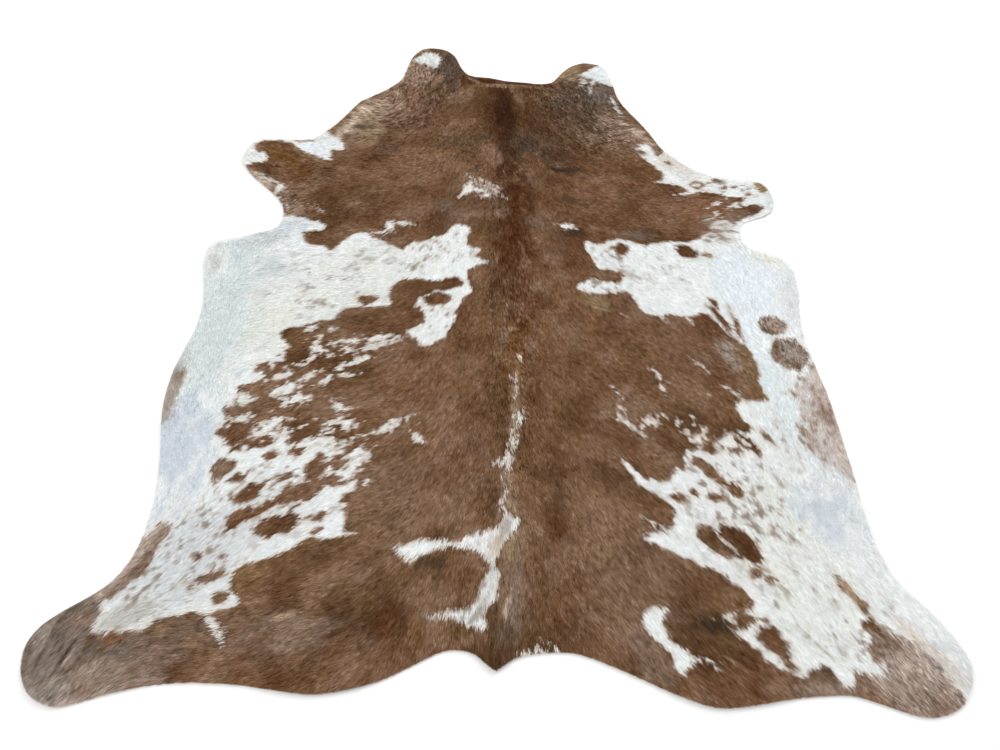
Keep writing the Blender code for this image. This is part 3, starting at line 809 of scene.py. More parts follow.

# %% [markdown]
# ## Washes on the white
# The white is laid on in the same way. It is cool and bluish where the belly hair is thin, creamy on
# the flanks, and tinged with pink or tan where the skin shows at the edges of the brown. A faint smoke
# wash on the left flap is painted shade along its outer crease.

# %% Washes on the white
# x, y, length and width in centimetres, heading in degrees, tone, strength
WHITE_WASHES = (
    (-76, -16, 84, 24, 88, "cool white", 0.8), (-76, -54, 36, 20, 88, "bluish", 1.0),
    # the smoke wash at x -81.5 on the left flap is painted shade along its outer crease
    (-81.5, 7, 16, 5, 100, "smoke", 0.3), (-64, 5, 12, 9, -20, "ash", 0.7),
    (-83.4, -37, 24, 6, 88, "pale taupe", 0.8), (-82.6, -32, 9, 4, 88, "taupe", 0.7),
    (-82, -28, 8, 5, 80, "ash", 0.9), (-68, 17, 14, 7, 20, "ash", 0.9),
    (-62, 22, 14, 7, 10, "bluish", 0.7), (-72, -84, 40, 26, 40, "ash", 0.6),
    (-60, -76, 40, 20, 30, "ash", 0.4), (-66, -97, 24, 6, 10, "cream", 0.5),
    (-79.5, -96.4, 16, 8, 25, "smoke", 0.55), (-44, -4, 50, 26, 20, "cream", 0.45),
    (-35, 9, 46, 14, 10, "cream", 0.25), (-60, -20, 24, 22, 60, "cream", 0.5),
    (66, -82, 54, 34, -60, "cream", 0.45), (78, -73, 24, 15, 118, "bluish", 1.0),
    (80, -66, 30, 16, 90, "ash", 0.3), (82.5, -8, 30, 8, 85, "ash", 0.45),
    (77.5, 8.6, 12, 6, -20, "straw", 0.9), (70, 15, 12, 6, -10, "straw", 0.3),
    (68, 7.5, 24, 8, 0, "cool white", 0.6), (70, -8, 70, 26, 88, "lilac white", 0.9),
    (66, 19, 13, 8, 40, "rose taupe", 0.5), (45, 4, 40, 14, -20, "white", 0.5),
    (72, -45, 40, 12, 88, "cool white", 0.3), (88, -92, 40, 16, -60, "white", 0.8),
    (94, -106, 18, 12, -60, "ash", 0.45), (90, -103.4, 24, 4, -52, "pale tan", 0.4),
    (-80, 54, 10, 9, 90, "cream", 0.5), (-58, 57, 16, 10, -35, "lilac white", 0.9),
    (-9, 40, 8, 7, 0, "pink", 0.25), (-2, 39.4, 10, 5, -45, "pink", 0.9),
    (-14, -90, 30, 8, 10, "pink", 0.3), (2, -69, 12, 5, 80, "pink", 0.6),
    (-0.5, -84, 20, 6, 84, "smoke", 0.4), (0.6, -79.4, 9, 5, 80, "pale tan", 0.6),
    (-55.5, -33.5, 8, 4, 20, "pink", 0.6), (-48.5, -22.5, 6, 3, 50, "pink", 0.6),
    (-42, -54, 16, 4, 12, "cream", 0.7), (34, -45, 22, 10, -30, "pink", 0.5),
    (42.5, -36, 8, 5, -60, "pink", 0.6), (54, -30, 6, 4, -50, "straw", 0.6),
    (49, -51, 12, 8, -50, "pink", 0.3), (-70, 39, 20, 9, -40, "cream", 0.4),
    (84.5, 33, 12, 4, 70, "ash", 0.5), (60, 30, 30, 12, 0, "cream", 0.6),
    (36, 99, 14, 12, 90, "lilac white", 0.6), (57, 50, 22, 8, -50, "pale tan", 0.35),
    (84.5, -45, 40, 4, 90, "pale tan", 0.5), (2, -76.4, 12, 3.4, 78, "taupe", 0.6),
    (1.4, -81, 8, 3, 84, "tan", 0.5), (-4.6, -96, 5.6, 1.6, 46, "grey", 0.7),
    (-2.2, -92.6, 9, 2, 62, "smoke", 0.7),
)

white_hair = washed(TONES["white"], WHITE_WASHES)
print(len(WHITE_WASHES), "washes on the white")

# %% [markdown]
# ## Where the white is speckled
# Some of the white is roan: darker hairs are mixed in. Soft ovals say where and how thickly, and others
# say where the white hair is smooth and clean.

# %% Speckled and smooth parts of the white
# x, y, length and width in centimetres, heading in degrees, strength
ROAN = (
    (60, -68, 30, 20, -42, 0.85), (66, -92, 44, 26, -60, 0.3), (52, -68, 34, 22, -50, 0.8),
    (40, 5, 40, 24, -30, 0.42), (-35, 8, 60, 18, 12, 0.3), (66, 20, 17, 12, 40, 1.1),
    (-70, -86, 40, 26, 45, 1.0), (-50, -6, 44, 16, 20, 0.5), (-60, -69, 34, 24, 20, 0.8),
    (-18, 11, 30, 18, 20, 0.4), (80, -100, 20, 18, 0, 0.7), (74, -50, 40, 14, 88, 0.35),
    (74, 38, 24, 12, 0, 0.8), (-17, -14, 10, 20, 90, 0.6), (-45, -62, 40, 30, 25, 0.6),
    (-10, -92, 24, 16, 10, 0.9), (30, -2, 10, 8, 0, 0.8), (-4, 40, 9, 9, 0, 0.8),
)
SMOOTH_HAIR = (
    (-78, -16, 90, 26, 88, 0.7), (-76, -56, 40, 24, 88, 0.9), (76, -30, 100, 26, 88, 0.8),
    (78, -73, 30, 24, 80, 0.9), (66, 4, 36, 26, 0, 0.5), (92, -95, 30, 18, -60, 0.7),
)


speckled = np.clip(soft_ovals(ROAN), 0, 1.1)
clean = 1 - np.clip(soft_ovals(SMOOTH_HAIR), 0, 1)
speckled_white = (speckled > 0.2) & (rim_depth > 0) & (brown_depth < 0)
print(f"speckled: {speckled_white.sum() * CELL**2:.2f} square metres")

# %% [markdown]
# ## Strokes in the white
# Between white hairs one sees the shade under them, so that shade is painted into the colour as strokes
# of smoke and pale taupe that run with the lay. A veil of rose taupe and taupe strokes covers the patch
# at the belly edge. And along every edge of the brown a little tan shows through the white.

# %% Strokes and veils over the white
VEIL_EDGE = 0.022  # the veil fades in over this distance
VEIL_FRAY = 1.5
TAN_EDGE = 0.005  # the tan reaches this far from the brown

# grains for the painted shade between the white hairs, as grey strokes and as warm strokes
painted_shade_grain = grains(hair=0.6, fine=0.7, coarse=0.5) + 0.3 * soft_noise(0.02, 35)
painted_grey_shade = smooth_rise(painted_shade_grain, 0.2, 2.4) * clean
painted_warm_shade = smooth_rise(grains(hair=0.7, fine=1.0, coarse=0.5, broad=0.5), 0.5, 2.5)
veil = smooth_rise(read_chart(belly_edge, wandered) + VEIL_FRAY * fray, -VEIL_EDGE / 2, VEIL_EDGE / 2)
streaks = grains(hair=0.5, fine=0.6, coarse=0.5, broad=0.5)
# share, tone
STROKES = (
    # the first two rows are painted shade between the hairs: grey strokes where the white is not smooth,
    # warm ones where it is speckled
    ((0.45 + 0.35 * speckled) * painted_grey_shade, "smoke"),
    (0.6 * np.clip(speckled, 0, 1) * painted_warm_shade, "pale taupe"),
    (0.95 * veil * (0.5 + 0.5 * smooth_rise(streaks, -1.3, 0.7)), "rose taupe"),
    (0.9 * veil * smooth_rise(streaks, 0.1, 1.9), "taupe"),
    ((0.45 + 0.15 * mottled) * np.exp(-((brown_depth / TAN_EDGE) ** 2)), "pale tan"),
)
for share, tone in STROKES:
    white_hair = tinted(white_hair, share, tone)
print("mean brown", brown_hair.mean(axis=(0, 1)).round(3))
print("mean white", white_hair.mean(axis=(0, 1)).round(3))

# %% [markdown]
# ## Brindle and roan
# Two more effects run with the lay. Roan is small grey-brown flecks in the white, where the grain
# passes a level, and the level is lower where the white is speckled. Brindle is light and dark
# streaking from lock to lock, strongest on the cheeks and the neck. Here it is only charted, and the
# locks take it up later.

# %% Charts for brindle and roan
# x, y, length and width in centimetres, heading in degrees, strength
BRINDLED = (
    (28, 78, 60, 34, -62, 1.0), (-28, 88, 60, 30, 65, 0.9), (0, 60, 60, 40, 0, 0.3),
    (84, -108, 30, 24, -40, 0.25), (77, -22, 26, 16, -60, 0.6), (63, -27, 18, 14, -60, 0.2),
    (82, -48, 40, 16, 90, 0.6), (-64, 50, 34, 22, -30, 0.25), (4, -5, 140, 16, 90, 0.4),
    (-62, 31, 22, 12, -45, 0.6),
)
ROAN_STARTS, ROAN_FULL = 2.9, 4.2  # levels of the grain
ROAN_EASE = 2.3  # how far both levels drop where the white is speckled

fleck_grain = grains(hair=1.0, fine=0.6, coarse=0.4) + ROAN_EASE * speckled
roan = smooth_rise(fleck_grain, ROAN_STARTS, ROAN_FULL) * (speckled > 0.02)
brindled = np.clip(soft_ovals(BRINDLED), 0, 1)
print(f"roan covers {(roan * (rim_depth > 0)).sum() * CELL**2:.3f} square metres")

# %% [markdown]
# ## How the skin lies
# A hide keeps the shape of the animal and of the way it was folded, so it does not lie quite flat. It
# stands off the floor along the spine, at the armpits, on the cheeks and at the leg tips. These are the
# solid's own ridges, given again because its faces don't say where one ends and the next begins.

# %% Ridges under the skin
# where, from x and y, to x and y, half width, height, all in metres
RIDGES = (
    ("spine, shoulders", 0.025, 0.84, 0.035, 0.05, 0.045, 0.0040),
    ("spine, back", 0.045, 0.00, 0.040, -0.60, 0.045, 0.0030),
    ("spine, rump", 0.025, -0.70, 0.005, -1.00, 0.055, 0.0055),
    ("neck edge roll", -0.060, 0.935, 0.140, 0.912, 0.040, 0.0080),
    ("left cheek edge", -0.480, 0.800, -0.560, 0.675, 0.040, 0.0090),
    ("right shoulder edge", 0.575, 0.520, 0.660, 0.450, 0.040, 0.0050),
    ("left foreleg tip", -0.800, 0.580, -0.815, 0.520, 0.050, 0.0050),
    ("right foreleg tip", 0.845, 0.370, 0.840, 0.300, 0.050, 0.0050),
    ("left armpit", -0.700, 0.165, -0.625, 0.090, 0.045, 0.0060),
    ("right armpit", 0.700, 0.195, 0.630, 0.125, 0.045, 0.0060),
    ("left flap", -0.805, 0.110, -0.785, -0.040, 0.045, 0.0055),
    ("right flap", 0.790, 0.060, 0.820, -0.060, 0.045, 0.0045),
    ("left flank hollow", -0.790, -0.480, -0.690, -0.640, 0.050, 0.0045),
    ("right flank hollow", 0.700, -0.660, 0.815, -0.770, 0.050, 0.0045),
    ("left hind leg", -0.890, -0.985, -0.915, -1.100, 0.050, 0.0070),
    ("right hind leg", 0.850, -1.020, 0.930, -1.080, 0.050, 0.0050),
    ("left thigh edge", -0.420, -1.095, -0.300, -1.095, 0.050, 0.0040),
    ("right thigh edge", 0.400, -1.115, 0.520, -1.120, 0.050, 0.0040),
    ("tail", 0.000, -1.035, 0.000, -1.065, 0.040, 0.0050),
)


def ridge_chart(rows):
    """A chart of heights: a bell-shaped ridge about each line, and where two meet the higher one."""
    chart = np.zeros((ROWS, COLUMNS))
    for _, x0, y0, x1, y1, half_width, height in rows:
        start, end, reach = np.array([x0, y0]), np.array([x1, y1]), 2 * half_width
        near = window(np.minimum(start, end) - reach, np.maximum(start, end) + reach)
        offset, run = chart_plan[near] - start, end - start
        share = np.clip(offset @ run / (run @ run), 0, 1)
        away = np.linalg.norm(offset - share[..., None] * run, axis=-1)
        chart[near] = np.maximum(chart[near], height * (1 - smooth_rise(away, 0, reach)))
    return chart


floor_gap = ridge_chart(RIDGES)
print(f"the underside stands up to {floor_gap.max() * 1000:.1f} mm off the floor")

# %% [markdown]
# ## Creases
# Finer creases show only on the coat side: sharp folds near the leg tips and the neck edge, and soft
# ones on the flaps and in the hollows. A slight buckling runs all over.

# %% Creases in the coat side
# where, from x and y, to x and y, half width, height, all in metres
CREASES = (
    ("left hind leg, inner", -0.872, -0.985, -0.892, -1.110, 0.0075, 0.0040),
    ("left hind leg, middle", -0.900, -0.985, -0.921, -1.100, 0.0070, 0.0042),
    ("left hind leg, outer", -0.930, -0.990, -0.949, -1.065, 0.0070, 0.0036),
    ("right hind leg, inner", 0.868, -1.040, 0.905, -1.120, 0.0080, 0.0034),
    ("right hind leg, outer", 0.905, -1.000, 0.942, -1.080, 0.0080, 0.0030),
    ("neck edge", -0.055, 0.925, 0.135, 0.905, 0.0080, 0.0045),
    ("neck edge, left", -0.100, 0.975, -0.060, 0.930, 0.0080, 0.0040),
    ("left flap, outer", -0.815, 0.120, -0.800, 0.000, 0.0100, 0.0030),
    ("left flap, inner", -0.770, 0.130, -0.745, 0.020, 0.0120, 0.0024),
    ("left armpit, upper", -0.715, 0.172, -0.640, 0.125, 0.0110, 0.0034),
    ("left armpit, lower", -0.640, 0.225, -0.590, 0.195, 0.0110, 0.0030),
    ("right armpit, upper", 0.735, 0.175, 0.665, 0.150, 0.0110, 0.0032),
    ("left foreleg", -0.770, 0.560, -0.640, 0.500, 0.0140, 0.0026),
    ("right foreleg", 0.700, 0.330, 0.820, 0.325, 0.0140, 0.0024),
    ("left hollow, upper", -0.800, -0.480, -0.740, -0.600, 0.0150, 0.0026),
    ("right hollow", 0.730, -0.690, 0.810, -0.730, 0.0150, 0.0026),
    ("left belly", -0.790, -0.150, -0.740, -0.330, 0.0160, 0.0020),
)
SKIN = 0.003
WAVE = 0.0005  # slight buckling all over
ROUNDED = 0.012  # the upper side comes down over this distance past the rim

relief = ridge_chart(CREASES) + WAVE * (1 + soft_noise(0.03, 4)).clip(0, 3)
upper_skin = floor_gap + relief + SKIN * smooth_rise(rim_depth, -ROUNDED, 0)
print(f"skin stands up to {upper_skin.max() * 1000:.1f} mm off the floor")

# %% [markdown]
# ## The skin
# The skin is one closed sheet. Its plan is a grid with two parameters, across and along, stretched
# over the outline. The rim is cut at four corners into four sides, and a Coons patch spans them: each
# inner point takes its share of the sides left and right of it, and of those before and behind.

# %% Stretch a grid over the outline
ACROSS, ALONG = 38, 60  # coarse cells
CORNER_WAYS = ((-1, -0.6), (1, -0.6), (0.6, 1), (-0.6, 1))  # tail left, tail right, neck right, neck left


def even_points(line, count):
    """That many points on a line, evenly spaced along its length."""
    travel = np.concatenate([[0], np.cumsum(np.linalg.norm(np.diff(line, axis=0), axis=1))])
    stops = np.linspace(0, travel[-1], count)
    return np.stack([np.interp(stops, travel, line[:, axis]) for axis in (0, 1)], axis=1)


def rim_sides(across, along):
    """The rim cut at its four corners: the tail, right, neck and left sides, each evenly spaced."""
    ring = np.roll(rim, -int((rim @ np.array(CORNER_WAYS[0])).argmax()), axis=0)
    corners = [int((ring @ np.array(way)).argmax()) for way in CORNER_WAYS] + [len(ring)]
    ring = np.append(ring, ring[:1], axis=0)
    sides = [ring[first : last + 1] for first, last in zip(corners, corners[1:])]
    tail, right, neck, left = (
        even_points(side, count + 1) for side, count in zip(sides, (across, along, across, along))
    )
    return tail, right, neck[::-1], left[::-1]


def coons_patch(tail, right, neck, left):
    """The sides joined across, plus the ends joined along, less the corners counted twice."""
    v = np.linspace(0, 1, len(left))[:, None, None]
    u = np.linspace(0, 1, len(tail))[None, :, None]
    across = (1 - u) * left[:, None] + u * right[:, None]
    along = (1 - v) * tail[None] + v * neck[None]
    low, high = ((1 - u) * end[0] + u * end[-1] for end in (tail, neck))
    return across + along - (1 - v) * low - v * high


first_grid = coons_patch(*rim_sides(ACROSS, ALONG))
print("first grid:", first_grid.shape[:2])

# %% [markdown]
# ## Even the grid
# In deep bays such as the armpits the lines of the first grid fold over. Evening cures that: each
# inner point moves to where the two sets of lines cross smoothly. The grid is evened while it is
# coarse, then halved twice, each time with the true rim put back.

# %% Even the grid
HALVINGS = 2
FIRST_ROUNDS, LATER_ROUNDS = 300, 60  # of evening


def evened(plan, rounds):
    """Moves inner points until the grid equation a*P_uu - 2*b*P_uv + c*P_vv = 0 nearly holds.

    Here a = |P_v|^2, b = P_u.P_v and c = |P_u|^2. Lines that obey it never fold over each other.
    """
    plan = plan.copy()
    for _ in range(rounds):
        east, west, north, south = plan[1:-1, 2:], plan[1:-1, :-2], plan[2:, 1:-1], plan[:-2, 1:-1]
        along_u, along_v = (east - west) / 2, (north - south) / 2
        twist = (plan[2:, 2:] - plan[2:, :-2] - plan[:-2, 2:] + plan[:-2, :-2]) / 4
        a, c = ((step**2).sum(axis=-1, keepdims=True) for step in (along_v, along_u))
        b = (along_u * along_v).sum(axis=-1, keepdims=True)
        plan[1:-1, 1:-1] = (a * (east + west) + c * (north + south) - 2 * b * twist) / (2 * (a + c))
    return plan


def with_rim(plan):
    """The grid with its four outer lines moved onto the true rim."""
    plan = plan.copy()
    tail, right, neck, left = rim_sides(plan.shape[1] - 1, plan.shape[0] - 1)
    plan[0], plan[-1], plan[:, 0], plan[:, -1] = tail, neck, left, right
    return plan


def halved(plan):
    """The grid with a new line halfway between every two, both ways."""
    for axis in (0, 1):
        plan = np.swapaxes(plan, 0, axis)
        finer = np.empty((2 * len(plan) - 1,) + plan.shape[1:])
        finer[::2], finer[1::2] = plan, (plan[1:] + plan[:-1]) / 2
        plan = np.swapaxes(finer, 0, axis)
    return plan


skin_plan = evened(first_grid, FIRST_ROUNDS)
for _ in range(HALVINGS):
    skin_plan = evened(with_rim(halved(skin_plan)), LATER_ROUNDS)
step_u, step_v = np.diff(skin_plan, axis=1)[:-1], np.diff(skin_plan, axis=0)[:, :-1]
spread = step_u[..., 0] * step_v[..., 1] - step_u[..., 1] * step_v[..., 0]
print(f"skin grid {skin_plan.shape[:2]}, least cell {spread.min() * 1e6:.1f} square mm")
print("folded cells:", (spread <= 0).sum())

# %% [markdown]
# ## From arrays to meshes
# Blender takes whole arrays at once: corners, then faces, then any value that belongs to a corner.
# Those values travel with the piece as attributes. Skin and hair carry the same ones, so one finish
# suits both: the colours of brown and of white hair there, the depth inside the brown, the roan, and
# the strand, which is how light or dark the lock is among its neighbours.

# %% Make a mesh and write its colour attributes
def mesh_of(name, corners, faces):
    """A mesh from an array of corners and an array of faces with the same number of sides."""
    mesh = bpy.data.meshes.new(name)
    mesh.vertices.add(len(corners))
    mesh.vertices.foreach_set("co", corners.astype(np.float32).ravel())
    mesh.loops.add(faces.size)
    mesh.loops.foreach_set("vertex_index", faces.astype(np.int32).ravel())
    mesh.polygons.add(len(faces))
    mesh.polygons.foreach_set("loop_start", np.arange(0, faces.size, faces.shape[1], dtype=np.int32))
    mesh.update(calc_edges=True)
    return mesh


def write_attribute(mesh, name, values):
    """Stores one number, or one colour, for each corner of the mesh."""
    values = np.asarray(values, np.float32)
    if values.ndim == 1:
        mesh.attributes.new(name, "FLOAT", "POINT").data.foreach_set("value", values)
        return
    opaque = np.concatenate([values, np.ones((len(values), 1), np.float32)], axis=1)
    mesh.attributes.new(name, "FLOAT_COLOR", "POINT").data.foreach_set("color", opaque.ravel())


def write_coat(mesh, plan, strand, repeat=1):
    """Reads the colour charts at those places and stores them on the mesh, each for that many corners."""
    facts = {
        "brown_hair": read_chart(brown_hair, plan),
        "white_hair": read_chart(white_hair, plan),
        "brown_depth": read_chart(brown_depth, plan),
        "roan": read_chart(roan, plan),
        "strand": strand,
    }
    for name, values in facts.items():
        write_attribute(mesh, name, np.repeat(values, repeat, axis=0))


def fitted(places, margin):
    """Places moved and stretched to fill the square from 0 to 1, but for a margin."""
    low, high = places.min(axis=0), places.max(axis=0)
    return margin + (1 - 2 * margin) * (places - low) / (high - low)


def write_map(mesh, places):
    """The map that colours are laid out on, with one place from 0 to 1 for each corner of each face."""
    corner = np.empty(len(mesh.loops), np.int32)
    mesh.loops.foreach_get("vertex_index", corner)
    layer = mesh.uv_layers.new(name="OFBake")
    layer.data.foreach_set("uv", places[corner].astype(np.float32).ravel())


print("each corner carries: brown hair, white hair, brown depth, roan, strand")

# %% [markdown]
# ## Short words for nodes
# A shader tree is easier to read as a sum than as a list of links. These helpers make one node each and
# give back its output, so that the output of one can be put straight into the next.

# %% Helpers for nodes
def node(tree, kind, **settings):
    """A new node with some of its settings changed."""
    made = tree.nodes.new(kind)
    for name, value in settings.items():
        setattr(made, name, value)
    return made


def feed(tree, source, target):
    """Links an output to an input, or puts a plain value there."""
    if isinstance(source, bpy.types.NodeSocket):
        tree.links.new(source, target)
    else:
        target.default_value = source


def math(tree, operation, *values):
    """A Math node, with its output ready to use."""
    made = node(tree, "ShaderNodeMath", operation=operation)
    for value, socket in zip(values, made.inputs):
        feed(tree, value, socket)
    return made.outputs[0]


def mixed(tree, share, low, high, blend="MIX"):
    """A colour Mix node, with its output ready to use. Its sockets 6 and 7 are the two colours."""
    made = node(tree, "ShaderNodeMix", data_type="RGBA", blend_type=blend)
    feed(tree, share, made.inputs[0])
    feed(tree, low, made.inputs[6])
    feed(tree, high, made.inputs[7])
    return made.outputs[2]


def noise(tree, place, scale, detail=2.0):
    """A Noise node about 0, from -0.5 to 0.5."""
    made = node(tree, "ShaderNodeTexNoise", noise_dimensions="3D")
    feed(tree, place, made.inputs["Vector"])
    made.inputs["Scale"].default_value = scale
    made.inputs["Detail"].default_value = detail
    return math(tree, "SUBTRACT", made.outputs[0], 0.5)


print("node helpers ready")

# %% [markdown]
# ## One finish for skin and hair
# The group below is built once. It frays the edge of the brown by a few hairs, mixes the two hair
# colours and adds the roan. The strand and some soft blots then make it lighter or darker, more in the
# brown than in the white, and light hair is a little paler in hue too. Only the colour leaves the
# group, and each material keeps its own shader.

# %% The coat colour group
RUFFLE_SCALE = 240.0  # blots a metre that fray the edge of the brown
STRAND_REACH = 0.0011  # a lighter strand shows as white this much further into the brown
SOFT_EDGE = 0.0012  # half the width over which brown turns to white
ROAN_SHARE = 0.7  # how much roan hair covers the white where the roan is 1
BLOT_SCALE, BLOT_SWING = 28.0, 0.25  # soft blots a metre, and how far they lighten or darken
STRAND_SWING = 0.20  # how far a strand of 1 lightens
WHITE_SWING = 0.28  # how much of the swing the white keeps
PALER = 0.25  # how much of its hue lighter hair loses
GROUP_INPUTS = {
    "Place": "Vector", "Brown hair": "Color", "White hair": "Color", "Roan hair": "Color",
    "Brown depth": "Float", "Roan": "Float", "Strand": "Float", "Fray": "Float",
}


def coat_colour_group():
    """Hair colours, brown depth, roan and strand in, and the colour of the coat out."""
    tree = bpy.data.node_groups.new("coat colour", "ShaderNodeTree")
    for name, kind in GROUP_INPUTS.items():
        tree.interface.new_socket(name=name, in_out="INPUT", socket_type=f"NodeSocket{kind}")
    tree.interface.new_socket(name="Colour", in_out="OUTPUT", socket_type="NodeSocketColor")
    given, result = node(tree, "NodeGroupInput").outputs, node(tree, "NodeGroupOutput").inputs

    ruffle = noise(tree, given["Place"], RUFFLE_SCALE)
    frayed = math(tree, "MULTIPLY_ADD", ruffle, given["Fray"], given["Brown depth"])
    frayed = math(tree, "MULTIPLY_ADD", given["Strand"], -STRAND_REACH, frayed)
    edge = node(tree, "ShaderNodeMapRange", interpolation_type="SMOOTHSTEP")
    feed(tree, frayed, edge.inputs["Value"])
    edge.inputs["From Min"].default_value = -SOFT_EDGE
    edge.inputs["From Max"].default_value = SOFT_EDGE
    brown = edge.outputs[0]
    fleck = math(tree, "MULTIPLY", given["Roan"], ROAN_SHARE)
    ground = mixed(tree, fleck, given["White hair"], given["Roan hair"])
    colour = mixed(tree, brown, ground, given["Brown hair"])

    blots = math(tree, "MULTIPLY", noise(tree, given["Place"], BLOT_SCALE, detail=3.0), BLOT_SWING)
    swing = math(tree, "MULTIPLY_ADD", given["Strand"], STRAND_SWING, blots)
    amount = math(tree, "MULTIPLY_ADD", brown, 1 - WHITE_SWING, WHITE_SWING)
    value = math(tree, "MULTIPLY_ADD", swing, amount, 1.0)
    purity = math(tree, "MULTIPLY_ADD", swing, -PALER, 1.0)
    toned = node(tree, "ShaderNodeHueSaturation")
    feed(tree, value, toned.inputs["Value"])
    feed(tree, purity, toned.inputs["Saturation"])
    feed(tree, colour, toned.inputs["Color"])
    feed(tree, toned.outputs[0], result["Colour"])
    return tree


coat_colours = coat_colour_group()
print("coat colour group:", len(coat_colours.nodes), "nodes")

# %% [markdown]
# ## Hair and skin
# Hair has a soft gloss. The skin under it takes the same colours, a little darker because little light
# gets down there, with a fine bump for the pores and the underhair. Numbers that are the same all over
# are set on the shader itself.

# %% Materials for hair and skin
ROAN_TONE = (*dye(142, 127, 112), 1.0)
SHADE = (0.80, 0.78, 0.76, 1.0)  # light that reaches the skin between the locks
HAIR_FRAY, SKIN_FRAY = 0.003, 0.004


def new_material(name, roughness, specular):
    """A material with a plain Principled shader, and the shader."""
    material = bpy.data.materials.new(name)
    material.use_nodes = True
    shader = material.node_tree.nodes["Principled BSDF"]
    shader.inputs["Roughness"].default_value = roughness
    shader.inputs["Specular IOR Level"].default_value = specular
    return material, shader


def attribute(tree, name, output):
    """An Attribute node's colour, vector or number."""
    return node(tree, "ShaderNodeAttribute", attribute_name=name).outputs[output]


def bump(tree, shader, height, strength, distance):
    """A Bump node on the shader's normal, fed with a height."""
    made = node(tree, "ShaderNodeBump")
    made.inputs["Strength"].default_value = strength
    made.inputs["Distance"].default_value = distance
    feed(tree, height, made.inputs["Height"])
    feed(tree, made.outputs[0], shader.inputs["Normal"])


def coat_colour(tree, place, fray):
    """The coat colour group placed in a material and fed from the mesh's attributes."""
    made = node(tree, "ShaderNodeGroup")
    made.node_tree = coat_colours
    for socket in ("Brown hair", "White hair", "Brown depth", "Roan", "Strand"):
        output = "Color" if GROUP_INPUTS[socket] == "Color" else "Fac"
        feed(tree, attribute(tree, socket.lower().replace(" ", "_"), output), made.inputs[socket])
    feed(tree, place, made.inputs["Place"])
    made.inputs["Roan hair"].default_value = ROAN_TONE
    made.inputs["Fray"].default_value = fray
    return made.outputs["Colour"]


def hair_material():
    """Short glossy hair. The place is the hair's root, so that each hair keeps one colour."""
    material, shader = new_material("coat hair", roughness=0.6, specular=0.08)
    tree = material.node_tree
    colour = coat_colour(tree, attribute(tree, "root", "Vector"), HAIR_FRAY)
    feed(tree, colour, shader.inputs["Base Color"])
    return material


def skin_material():
    """The skin and the short underhair, seen between the hairs: the same colours, darker, with pores."""
    material, shader = new_material("skin under the coat", roughness=0.8, specular=0.08)
    tree = material.node_tree
    place = node(tree, "ShaderNodeTexCoord").outputs["Object"]
    colour = mixed(tree, 1.0, coat_colour(tree, place, SKIN_FRAY), SHADE, "MULTIPLY")
    feed(tree, colour, shader.inputs["Base Color"])
    pores = noise(tree, place, scale=700.0, detail=3.0)
    bump(tree, shader, pores, strength=0.4, distance=0.001)
    return material


coat_hair, coat_skin = hair_material(), skin_material()
print("materials:", coat_hair.name, "and", coat_skin.name)

# %% [markdown]
# ## Suede
# The flesh side and the cut edge have no hair. They are pale and fuzzy: rough, with a fine nap that is
# both a colour and a bump, and with wide faint blots left by the tanning.

# %% Material for the flesh side
SUEDE_TONES = ((176, 156, 134), (205, 188, 166), (190, 180, 168))  # nap in shade, nap in light, blots


def suede_material():
    """The flesh side and the cut edge: pale tan nap with blots from the tanning."""
    material, shader = new_material("suede", roughness=0.95, specular=0.15)
    tree = material.node_tree
    place = node(tree, "ShaderNodeTexCoord").outputs["Object"]
    nap = math(tree, "MULTIPLY_ADD", noise(tree, place, scale=350.0, detail=4.0), 0.8, 0.5)
    blots = math(tree, "MULTIPLY_ADD", noise(tree, place, scale=9.0, detail=3.0), 1.2, 0.5)
    dark, light, blotted = ((*linear(*tone), 1) for tone in SUEDE_TONES)
    napped = mixed(tree, nap, dark, light)
    feed(tree, mixed(tree, blots, napped, blotted), shader.inputs["Base Color"])
    bump(tree, shader, nap, strength=0.5, distance=0.0012)
    return material


suede = suede_material()
print("material:", suede.name)

# %% [markdown]
# ## Close the skin
# The upper and the under grid share one plan, and a wall joins them at the rim. The under grid is
# turned over so that its faces look down. The map sets the two sides next to each other, so that each
# gets its own colours.

# %% Build the skin
SKIN_MARGIN = 0.01  # of the map
SHARP = 50  # degrees: a bend sharper than this stays a hard edge


def sheet_faces(rows, columns):
    """Quads of a closed sheet: the upper grid, the under grid turned over, and a wall round the rim."""
    upper = np.arange(rows * columns).reshape(rows, columns)
    squares = (upper[:-1, :-1], upper[:-1, 1:], upper[1:, 1:], upper[1:, :-1])
    top = np.stack(squares, axis=-1).reshape(-1, 4)
    bottom = top[:, ::-1] + rows * columns
    edge = np.concatenate([upper[0, :-1], upper[:-1, -1], upper[-1, :0:-1], upper[:0:-1, 0]])
    onward = np.roll(edge, -1)
    wall = np.stack([edge + rows * columns, onward + rows * columns, onward, edge], axis=-1)
    return top, bottom, wall


def build_skin():
    """The skin's mesh: coat side, flesh side and cut edge."""
    plan = skin_plan.reshape(-1, 2)
    under = np.column_stack([plan, read_chart(floor_gap, plan)])
    upper = np.column_stack([plan, read_chart(floor_gap + relief, plan) + SKIN])
    top, bottom, wall = sheet_faces(*skin_plan.shape[:2])
    mesh = mesh_of("hide_skin", np.concatenate([upper, under]), np.concatenate([top, bottom, wall]))
    mesh.materials.append(coat_skin)
    mesh.materials.append(suede)
    slots = np.repeat([0, 1], [len(top), len(bottom) + len(wall)])
    mesh.polygons.foreach_set("material_index", slots.astype(np.int32))
    write_coat(mesh, np.concatenate([plan, plan]), np.zeros(2 * len(plan)))
    place = fitted(plan, SKIN_MARGIN) * [0.5, 1]
    write_map(mesh, np.concatenate([place, place + [0.5, 0]]))
    return mesh


